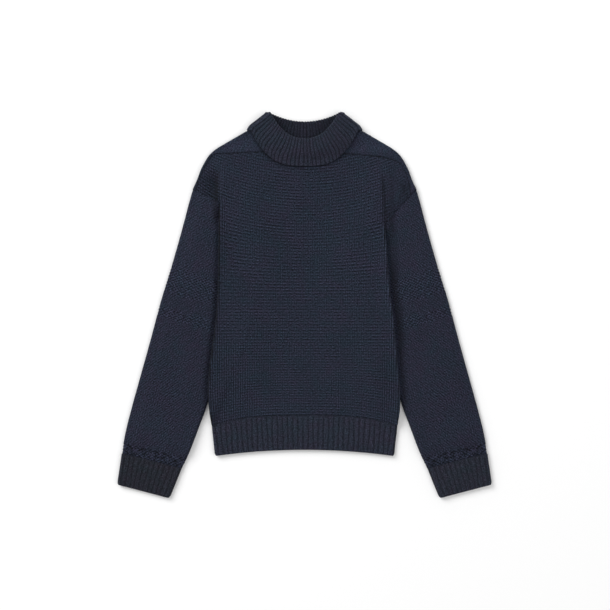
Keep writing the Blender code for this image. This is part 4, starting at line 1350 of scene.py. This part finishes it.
# Seed-stitch bands: where each begins and ends, as a share of the way from armhole to cuff.
BANDS = ((0.287, 0.384), (0.436, 0.478), (0.958, 1.0))
BAND_SOFT = 0.003
FIRST_ROW = 0.007        # the even rows begin after this share, below the close ones
BANDS_BEFORE, BANDS_AFTER = dict(left=0.02, right=0.11), 0.012    # fine rows round the bands
CUFF_BAND = 0.9
BAND_RISE = 0.0006       # the seed-stitch bands stand up from the plain knit by this
BUMP_DEPTH = 0.0013
BUMP_UNEVEN, BUMP_SEED, BUMP_SIZE = 0.25, 41, 0.011
STITCH = 0.0036          # width of a stitch
ROW = 0.0028             # height of a row


def knit_share(x, y):
    """Share of the way down a sleeve: 0 on the line through both armhole corners, 1 at the cuff,
    with the lines between turning slowly from one to the other."""
    outer, inner = outer_edge(y), inner_edge(y)
    f = np.clip((outer - np.abs(x)) / (outer - inner), 0, 1)
    top = blend(TOP_OUTER_Y, TOP_INNER_Y, f)
    return (top - y) / (top - blend(CUFF_TOP[0][1], CUFF_TOP[1][1], f))


def in_bands(share):
    """1 inside the seed-stitch bands and 0 outside, with soft steps between."""
    total = np.zeros_like(share)
    for start, end in BANDS:
        rising, falling = (share - start) / BAND_SOFT, (end - share) / BAND_SOFT
        total = np.maximum(total, ease(rising + 0.5) * ease(falling + 0.5))
    return total


def sleeve_rows(side):
    """Shares of the sleeve's length: close rows on the seam and round the bands."""
    shares = [0.0]
    while shares[-1] < 1:
        here = shares[-1]
        dense = any(a - BANDS_BEFORE[side] < here < b + BANDS_AFTER for a, b in BANDS)
        shares.append(here + (BAND_STEP if dense else SLEEVE_STEP) / SLEEVE_LENGTH)
    t = np.array(shares) / shares[-1]
    return np.unique(np.concatenate([EDGE_ROWS / SLEEVE_LENGTH, t[t > FIRST_ROW], [1.0]]))


print("the bands are", [round((b - a) * SLEEVE_LENGTH * 1000) for a, b in BANDS], "mm high")

# %% how the upper layer rises
MEET_REACH = 0.035       # a sleeve's upper layer rises over this much to meet the front panel
UNDER_FRONT = 0.0009     # but stays this far below it under its side
UNDER_STEP, MEET_STEP = (0.0, 0.002), (-0.004, 0.004)
CUFF_FADE = 0.045        # it settles again over this much above the cuff
SLEEVE_PUFF = 0.0048     # how far a sleeve's upper layer stands off its lower one in the middle
PUFF_NEAR, PUFF_NEAR_STEP = 0.75, (-0.001, 0.012)     # it rises mostly right beside the body
PUFF_FAR, PUFF_FAR_STEP = 0.25, (0.0, 0.045)
PUFF_INNER, PUFF_INNER_Y, PUFF_OUTER = 0.035, (-0.20, -0.06), 0.028
PUFF_UNEVEN, PUFF_SEED, PUFF_SIZE = 0.0008, 11, 0.11


def sleeve_fullness(x, y):
    """The upper layer's puff: soft steps away from the body's side and from both edges."""
    off = np.abs(x) - body_side(x, y)
    from_body = PUFF_NEAR * past(off, *PUFF_NEAR_STEP) + PUFF_FAR * past(off, *PUFF_FAR_STEP)
    from_inner = ease((np.abs(x) - inner_edge(y)) / PUFF_INNER) * past(y, *PUFF_INNER_Y)
    from_outer = ease((outer_edge(y) - np.abs(x)) / PUFF_OUTER)
    puff = SLEEVE_PUFF + PUFF_UNEVEN * waves(x, y, PUFF_SEED, PUFF_SIZE)
    return np.maximum(from_body, from_inner) * from_outer * puff


def rise_to_front(x, y, z):
    """What a sleeve's first row lacks to the front's level, eased out under the body's side."""
    beyond = np.abs(x) - body_side(x, y)
    lacking = np.maximum(front_level(x, y) + front_folds(x, y) - z, 0)
    return (lacking - UNDER_FRONT * (1 - past(beyond, *UNDER_STEP))) * past(beyond, *MEET_STEP)


puff = float(sleeve_fullness(0.24, 0.0))
print("halfway down, a sleeve puffs up by", round(puff * 1000, 1), "mm")

# %% painted shade on the sleeves
# Painted shade left of the body: how dark, between which y, and between which distances from its side.
LEFT_PAINTED_SHADES = (
    (0.16, (), ((0.014, -0.012),)),                                  # all the way down
    (-0.22, ((0.045, 0.03), (0.165, -0.02)), ((0.011, -0.005),)),    # painted lighter below the arm
    (0.44, ((0.135, 0.03),), ((0.001, 0.005), (0.017, -0.010))),     # and dark right under it
)
# Painted shade right of it: how dark, from which distance on it fades and over how much.
RIGHT_WAIST, RIGHT_LOW, RIGHT_ARM = (0.58, 0.009, 0.016), (0.46, 0.006, 0.012), (0.33, 0.009, 0.018)
RIGHT_LOW_Y, RIGHT_ARM_Y = (-0.04, -0.08), (0.05, 0.05)
CREASE_LIGHT, CREASE_LIGHT_Y, CREASE_LIGHT_OFF = 0.52, (0.142, -0.040), (0.0022, 0.0045)
PAINTED_SHADE_END_Y = -0.215
CUFF_BAND_DARK, CUFF_BAND_FROM = 0.14, (0.952, 0.01)
UPPER_LIGHT, UPPER_LIGHT_Y = 0.08, (0.02, 0.10)


def fading(off, depth, start, over):
    """A depth that fades out over a stretch beyond a start."""
    return depth * (1 - past(off, start, over))


def sleeve_painted_shade(x, y, top):
    """Painted shade beside the body's side: a sum of soft steps on the left, and on the right a broad
    one, with a painted lighter crease close to the side. The seed band above the cuff is darker, and
    the sleeve is lighter higher up."""
    off = np.abs(x) - body_side(x, y)
    left = sum(depth * within(y, *high) * within(off, *wide) for depth, high, wide in LEFT_PAINTED_SHADES)
    low = past(y, *RIGHT_LOW_Y)
    right = fading(off, *(blend(a, b, low) for a, b in zip(RIGHT_WAIST, RIGHT_LOW)))
    right = blend(right, fading(off, *RIGHT_ARM), past(y, *RIGHT_ARM_Y))
    crease = blend(right, -CREASE_LIGHT, past(y, *CREASE_LIGHT_Y))
    right = blend(crease, right, past(off, *CREASE_LIGHT_OFF))
    shade = top * by_side(x, left, right) * (y > PAINTED_SHADE_END_Y)
    shade = shade + CUFF_BAND_DARK * past(knit_share(x, y), *CUFF_BAND_FROM)
    return shade - UPPER_LIGHT * past(y, *UPPER_LIGHT_Y)


print("beside the body the right sleeve is up to", RIGHT_WAIST[0], "darker")

# %% sleeves and cuffs


def sleeve(side, sign):
    """A flat tube with the puff of its upper layer and the knobs of its bands: 1 plus the
    product of a cosine round it and one down it, halved."""
    hole, t = ARMHOLE[side], sleeve_rows(side)
    outer_y = blend(hole["corner"][1] + SEW, CUFF_TOP[0][1] - SEW, t)
    inner_y = blend(hole["end"][1] + SEW, CUFF_TOP[1][1] - SEW, t)
    start = np.stack([sign * outer_edge(outer_y), outer_y], axis=1)
    end = np.stack([sign * inner_edge(inner_y), inner_y], axis=1)
    inner_stack = blend(TUCKED_STACK, EDGE_STACK, past(inner_y, *SLEEVE_OUT))
    around = np.arange(SLEEVE_COLUMNS) / SLEEVE_COLUMNS
    middle, round_, top = flat_tube(start, end, KNIT_WALL, STACK, EDGE_STACK, inner_stack, around)
    x, y = middle[..., 0], middle[..., 1]
    down = run_along(middle, 0)
    middle[..., 2] += top * sleeve_fullness(x, y) * ease((down[-1] - down) / CUFF_FADE)
    lacking = rise_to_front(x[:1], y[:1], middle[:1, :, 2])
    middle[..., 2] += top * lacking * (1 - ease(down / MEET_REACH))
    share = knit_share(x, y)
    bands, v = in_bands(share), -share * SLEEVE_LENGTH
    bumps = 0.5 + 0.5 * np.cos(math.pi * round_ / STITCH) * np.cos(math.pi * v / ROW)
    bumps = bumps * (1 - BUMP_UNEVEN + BUMP_UNEVEN * waves(round_, v, BUMP_SEED, BUMP_SIZE))
    seam = np.maximum(ARMHOLE_SEAM[side] * seam_groove(down), CUFF_SEAM * seam_groove(down[-1] - down))
    groove = np.maximum(blend(BAND_RISE, BUMP_DEPTH * (1 - bumps), bands), seam)
    lap = round_[:, -1:] + (round_[:, 1:2] - round_[:, :1])
    marks = {"seam": seam / SEAM_DEPTH, "seed": bands, "coarse": bands * (share > CUFF_BAND),
             "hollow": sleeve_painted_shade(x, y, top)}
    return knit_wall("sleeve_knit_" + side, middle, KNIT_WALL / 2 - groove, KNIT_WALL / 2,
                     lapped(round_, v, lap), marks, sign, wrapped=True)


for side, sign in (("left", -1), ("right", 1)):
    made["sleeve_" + side] = sleeve(side, sign)
    made["cuff_" + side] = cuff(side, sign)

# %% [markdown]
# ## The yarn and its stitches
#
# The yarn is a dark navy wool, heathered and almost matt. The plain knit is stocking stitch:
# columns of V-shaped loops, 3.6 mm wide and 2.8 mm high. The bands on the sleeves are seed
# stitch, where every other loop is a bump. The ribs show two columns of Vs and then a gutter.
#
# Single loops are too small to be modelled over a whole garment, so they are painted and
# embossed by the material. A picture of a knit would repeat itself. A formula doesn't, and it
# reads the place on the flat cloth, so the rows bend wherever the knitting bends. A material's
# formula is a tree of nodes. The small class below lets it be written as ordinary arithmetic.

# %% arithmetic with nodes


class Field:
    """A value that a material works out at every point. Arithmetic with it adds Math nodes."""

    def __init__(self, tree, socket):
        self.tree, self.socket = tree, socket

    def math(self, operation, *values):
        return node(self.tree, "ShaderNodeMath", {"operation": operation}, dict(enumerate(values)))

    def __add__(self, other):
        return self.math("ADD", self, other)

    def __sub__(self, other):
        return self.math("SUBTRACT", self, other)

    def __mul__(self, other):
        return self.math("MULTIPLY", self, other)

    def __truediv__(self, other):
        return self.math("DIVIDE", self, other)

    def __radd__(self, other):
        return self.math("ADD", other, self)

    def __rsub__(self, other):
        return self.math("SUBTRACT", other, self)

    def __rmul__(self, other):
        return self.math("MULTIPLY", other, self)

    def __abs__(self):
        return self.math("ABSOLUTE", self)

    def floor(self):
        return self.math("FLOOR", self)

    def fract(self):
        return self.math("FRACT", self)

    def cos(self):
        return self.math("COSINE", self)

    def clamp(self, low=0.0, high=1.0):
        return self.math("MAXIMUM", self.math("MINIMUM", self, high), low)


def node(tree, kind, settings, sockets, output=0):
    """Any node: its type, its settings, then what goes into its sockets."""
    new = tree.nodes.new(kind)
    for key, value in settings.items():
        setattr(new, key, value)
    for key, value in sockets.items():
        if isinstance(value, Field):
            tree.links.new(value.socket, new.inputs[key])
        else:
            new.inputs[key].default_value = value
    return Field(tree, new.outputs[output])


print("a material's value is now a", Field.__name__, "and adding to it adds a node")

# %% reading the cloth


def flat_place(tree):
    """Across and up on the flat cloth, in metres."""
    place = node(tree, "ShaderNodeUVMap", {"uv_map": "flat_cloth"}, {})
    return [node(tree, "ShaderNodeSeparateXYZ", {}, {0: place}, axis) for axis in (0, 1)]


def mark_value(tree, name):
    """One of the numbers that the mesh carries at each point. Where it has none, this is 0."""
    return node(tree, "ShaderNodeAttribute", {"attribute_name": name}, {}, "Fac")


def speckle(tree, u, v, across, up, detail=2.0):
    """Noise around 0.5 whose grains are across by up metres large."""
    where = node(tree, "ShaderNodeCombineXYZ", {}, {0: u / across, 1: v / up})
    return node(tree, "ShaderNodeTexNoise", {"noise_dimensions": "2D"},
                {"Vector": where, "Scale": 1.0, "Detail": detail, "Roughness": 0.55})


def stripes(along, pitch):
    """Even bright and dark stripes, 1 to -1: the cosine of one turn for each pitch."""
    return (along * (2 * math.pi / pitch)).cos()


layers = [mark.name for mark in made["front_panel"].data.attributes if mark.data_type == "FLOAT"]
print("the front's marks are", ", ".join(layers))

# %% stitches
RIB_STITCH = RIB_PITCH / 3
V_SLANT = 1.1            # how far the legs of a V climb, in rows
V_DIP = 0.75             # how deep the gap between two Vs of one column is
LEG_AT, LEG_WIDTH = 0.25, 0.27


def vee_height(u, v, stitch, row):
    """Height 0 to 1 of stocking stitch: two legs in each column, each round across as 1 less a
    square, which climb outwards and dip, as a square again, where one loop ends and the next
    begins."""
    off = abs((u / stitch).fract() - 0.5)
    leg = (off - LEG_AT) / LEG_WIDTH
    along = (v / row - off * V_SLANT).fract() * 2.0 - 1.0
    return (1.0 - leg * leg) * (1.0 - along * along * V_DIP)


def seed_height(u, v):
    """Height 0 to 1 of seed stitch: bumps on every other loop of a grid, as the product of a
    cosine across and one up."""
    return stripes(u, 2 * STITCH) * stripes(v, 2 * ROW) * 0.5 + 0.5


print("a stitch is", round(STITCH * 1000, 1), "mm wide and one of a rib", round(RIB_STITCH * 1000, 1))

# %% [markdown]
# ## Three knits
#
# From close by one sees loops. From further away one sees what they add up to: broken rows
# across the body, slanted lines down the sleeves, twisted columns in the ribs. No two patches
# of a knit by hand are equally even, so each pattern comes and goes over a few centimetres.
# Each knit below is a height, for the emboss, and a shade, which the yarn's colour is
# multiplied by. That shade holds painted shade in the gaps between the loops and in the gutters.

# %% measures of the knits
YARN_WANDER = 0.009                  # size of the patches in which the yarn wanders
LOOP_WANDER, RIB_LOOP_WANDER = 0.0012, 0.0004     # and how far it does, in metres
ROW_WANDER, WALE_WANDER, LINE_WANDER, KNOT_WANDER = 0.0016, 0.0010, 0.0045, 0.006
GAP_DARK, RIB_GAP_DARK = 0.7, 0.6    # painted shade between the loops
# painted shade in the ribs' gutters
GUTTER_DARK = 0.58
TWIST, TWIST_SIZE = 0.7, (0.004, 0.007)
BROKEN_FROM = 0.38                   # below this much noise a row or a line is broken
WALE = 0.0043                        # pitch of the columns, as seen from further away
WALE_DEPTH = 0.42                    # of the columns beside the body's sides
DASH_DEPTH, DASH_FAINT = 0.74, 0.43  # of the body's rows, where they show and where they don't
DASH_LENGTH, DASH_SHARP = 0.0034, 5.0
DASH_SHIFT = 7.3 * ROW               # takes each row's breaks from another part of the noise
DOT_DEPTH, DOT_EVERYWHERE = 0.16, 0.08
SIDE_CALM, PLAIN_CALM = 0.45, 0.75   # what the marks take off the rows
BODY_PATCHES = (0.055, 0.040, 3.0, 1.0)           # across and up in metres, contrast, and less
SLEEVE_PATCHES = (0.045, 0.060, 2.4, 0.7)
LINE_ANGLE = math.radians(50)        # of the sleeves' lines
LINE_PITCH = 0.0041
LINE_DEPTH, LINE_FAINT = 0.80, 0.38
LINE_LENGTH, LINE_SHARP, LINE_LEAN = 0.0050, 4.0, 1.2
SLEEVE_WALES = 0.22
SEED_LOW, SEED_HIGH = 0.14, 1.20     # painted shade between the knots, and lighter on them
KNOT_UNEVEN, KNOT_TOP = 0.95, 1.2
TANGLE, TANGLE_SIZE = 1.6, (0.0075, 0.0062)       # the cuff's band is knitted less evenly


print("the sleeves' lines slant by", round(math.degrees(LINE_ANGLE)), "degrees")

# %% ribs and body


def patches(tree, u, v, across, up, contrast, less):
    """Soft patches of 0 and 1: noise, stretched and clamped."""
    return (speckle(tree, u, v, across, up, 1.0) * contrast - less).clamp()


def rib_pattern(tree, u, v, drift):
    """Vs, painted shade in the gaps, more of it in the gutters, and a twist: 1 plus noise."""
    height = vee_height(u + drift * RIB_LOOP_WANDER, v, RIB_STITCH, ROW)
    twist = speckle(tree, u, v, *TWIST_SIZE, 1.0) - 0.5
    gaps = 1.0 - (1.0 - height) * RIB_GAP_DARK
    return height, gaps * (1.0 - mark_value(tree, "gutter") * GUTTER_DARK) * (1.0 + twist * TWIST)


def plain_pattern(u, v, drift):
    """Vs with painted shade in their gaps, and the columns they make."""
    height = vee_height(u + drift * LOOP_WANDER, v + drift * LOOP_WANDER, STITCH, ROW)
    return height, 1.0 - (1.0 - height) * GAP_DARK, stripes(u + drift * WALE_WANDER, WALE)


def body_pattern(tree, u, v, drift):
    """Plain knit, times 1 plus stripes along the rows, broken by noise that is as long as a
    dash and different in each row. Where they are faint the columns show instead."""
    height, shade, wales = plain_pattern(u, v, drift)
    line = (v + drift * ROW_WANDER) / (2 * ROW)
    broken = speckle(tree, u, line.floor() * DASH_SHIFT, DASH_LENGTH, ROW, 0.0)
    dash = stripes(line, 1.0) * ((broken - BROKEN_FROM) * DASH_SHARP).clamp()
    patch = patches(tree, u, v, *BODY_PATCHES)
    rows = dash * (patch * (DASH_DEPTH - DASH_FAINT) + DASH_FAINT)
    rows = rows + wales * ((1.0 - patch) * DOT_DEPTH + DOT_EVERYWHERE)
    side = mark_value(tree, "side")
    rows = rows * (1.0 - side * SIDE_CALM) * (1.0 - mark_value(tree, "plain") * PLAIN_CALM)
    return height, shade * (1.0 + rows + wales * side * WALE_DEPTH)


print("the body's rows are", round(2 * ROW * 1000, 1), "mm apart")

# %% sleeves


def sleeve_pattern(tree, u, v, drift):
    """Plain knit, times 1 plus stripes along a slant, broken in the same way; and seed stitch
    in the bands, uneven by noise and with a coarser tangle of it in the last one."""
    height, shade, wales = plain_pattern(u, v, drift)
    slanted = (v + drift * LINE_WANDER) * math.cos(LINE_ANGLE) - u * math.sin(LINE_ANGLE)
    broken = speckle(tree, u + v * LINE_LEAN, slanted, LINE_LENGTH, LINE_PITCH, 0.0)
    line = stripes(slanted, LINE_PITCH) * ((broken - BROKEN_FROM) * LINE_SHARP).clamp()
    patch = patches(tree, u, v, *SLEEVE_PATCHES)
    line = line * (patch * (LINE_DEPTH - LINE_FAINT) + LINE_FAINT)
    plain = shade * (1.0 + line + wales * (1.0 - patch) * SLEEVE_WALES)
    knot = speckle(tree, u, v, STITCH, ROW, 1.0) - 0.5
    tangle = (speckle(tree, u, v, *TANGLE_SIZE, 1.0) - 0.5) * mark_value(tree, "coarse")
    bumps = seed_height(u + drift * KNOT_WANDER, v + drift * KNOT_WANDER)
    bumps = (bumps + knot * KNOT_UNEVEN + tangle * TANGLE).clamp(0.0, KNOT_TOP)
    seed = mark_value(tree, "seed")
    shade = plain * (1.0 - seed) + (SEED_LOW + bumps * (SEED_HIGH - SEED_LOW)) * seed
    return height * (1.0 - seed) + bumps * seed, shade


PATTERNS = {"body": body_pattern, "sleeve": sleeve_pattern, "rib": rib_pattern}
print("patterns for", ", ".join(PATTERNS))

# %% [markdown]
# ## One wool
#
# All three knits are of the same yarn. Heather is fine noise, light and dark fibres side by
# side, and its hue wanders between a cooler and a warmer navy. A seam shows as a row of dark
# stitches. The wool is rough, with a weak sheen from its loose fibres. Hair could be grown on
# it, but at this size it would only blur.

# %% colours and fibres
NAVY = {"body": (0.0229, 0.0288, 0.0486), "sleeve": (0.0238, 0.0278, 0.0480),
        "rib": (0.0293, 0.0338, 0.0540)}
COOLER, WARMER = (0.86, 1.05, 1.0), (1.14, 0.95, 1.02)    # times the navy's red, green and blue
DUSK_TINT = (1.06, 1.0, 0.90)        # the same, in the painted shade of a cuff
HUE_SPREAD, HUE_SIZES = 1.3, ((0.013, 0.013, 2.0), (0.060, 0.045, 1.0))
HEATHER = {"body": 3.5, "sleeve": 3.4, "rib": 3.3}
HEATHER_SIZE, HEATHER_RELIEF = 0.0022, 0.5
CLOUD, CLOUD_SIZE = 0.15, 0.05
DARKEST, LIGHTEST = 0.15, 2.5
SEWN_SIZE, SEWN_DARK, SEWN_DARKEST = 0.004, 1.2, 0.8
LOOP_EMBOSS, EMBOSS_STRENGTH = 0.0009, 0.6    # metres, and a share
WOOL = {"Roughness": 0.92, "Sheen Weight": 0.08, "Sheen Roughness": 0.45,
        "Specular IOR Level": 0.12, "Sheen Tint": (0.75, 0.82, 1.0, 1.0)}
print("the navy of the ribs is", round(sum(NAVY["rib"]) / sum(NAVY["body"]), 2), "times as light")

# %% wool


def mixed(tree, share, a, b):
    """One colour turning into another: a mix by the share."""
    return node(tree, "ShaderNodeMix", {"data_type": "RGBA"}, {"Factor": share, "A": a, "B": b}, "Result")


def shifted(colour, by):
    """A colour times another one, opaque."""
    return (*(c * f for c, f in zip(colour, by)), 1.0)


def knit_material(kind):
    """Wool in one of the knits. Its colour is a mix of two hues, times the pattern's shade, 1
    plus heather and clouds, 1 less the sewing and 1 less the painted shade of the mark hollow."""
    material = bpy.data.materials.new(kind + "_wool")
    material.use_nodes = True
    tree = material.node_tree
    shader = tree.nodes["Principled BSDF"]
    u, v = flat_place(tree)
    drift = speckle(tree, u, v, YARN_WANDER, YARN_WANDER) - 0.5
    height, shade = PATTERNS[kind](tree, u, v, drift)
    heather = speckle(tree, u, v, HEATHER_SIZE, HEATHER_SIZE, 3.0) - 0.5
    cloudy = speckle(tree, u, v, CLOUD_SIZE, CLOUD_SIZE, 1.0) - 0.5
    shade = shade * (1.0 + heather * HEATHER[kind] + cloudy * CLOUD).clamp(DARKEST, LIGHTEST)
    sewn = mark_value(tree, "seam") * speckle(tree, u, v, SEWN_SIZE, SEWN_SIZE, 0.0)
    shade = shade * (1.0 - (sewn * SEWN_DARK).clamp(0.0, SEWN_DARKEST))
    # painted shade and light from the mark hollow
    shade = shade * (1.0 - mark_value(tree, "hollow"))
    fine, broad = ((speckle(tree, u, v, *size) - 0.5) * HUE_SPREAD for size in HUE_SIZES)
    cool, warm = (shifted(NAVY[kind], by) for by in (COOLER, WARMER))
    hues = mixed(tree, (fine + broad + 0.5).clamp(), cool, warm)
    tint = node(tree, "ShaderNodeVectorMath", {"operation": "SCALE"}, {0: hues, "Scale": shade})
    if kind == "rib":
        dull = node(tree, "ShaderNodeVectorMath", {"operation": "MULTIPLY"}, {0: tint, 1: DUSK_TINT})
        tint = mixed(tree, mark_value(tree, "dusk"), tint, dull)
    tree.links.new(tint.socket, shader.inputs["Base Color"])
    bump = node(tree, "ShaderNodeBump", {}, {"Strength": EMBOSS_STRENGTH, "Distance": LOOP_EMBOSS,
                                             "Height": height + heather * HEATHER_RELIEF})
    tree.links.new(bump.socket, shader.inputs["Normal"])
    for key, value in WOOL.items():
        shader.inputs[key].default_value = value
    return material


KNITS = {kind: knit_material(kind) for kind in PATTERNS}
print(len(KNITS), "knits of one wool")

# %% [markdown]
# ## Handing the pieces over
#
# Each piece now gets its wool. It rides on the one body, takes the slot of its knit and
# replaces the plain solid of the same name. Nothing is left to move by hand.

# %% all the pieces
KIND = {"front": "body", "back": "body", "sleeve": "sleeve", "hem": "rib", "cuff": "rib", "collar": "rib"}
for node_name, piece in made.items():
    kind = KIND[node_name.split("_")[0]]
    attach(piece, "root")
    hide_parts(node_name)
    piece.data.materials.append(KNITS[kind])
print(len(made), "pieces:", ", ".join(made))
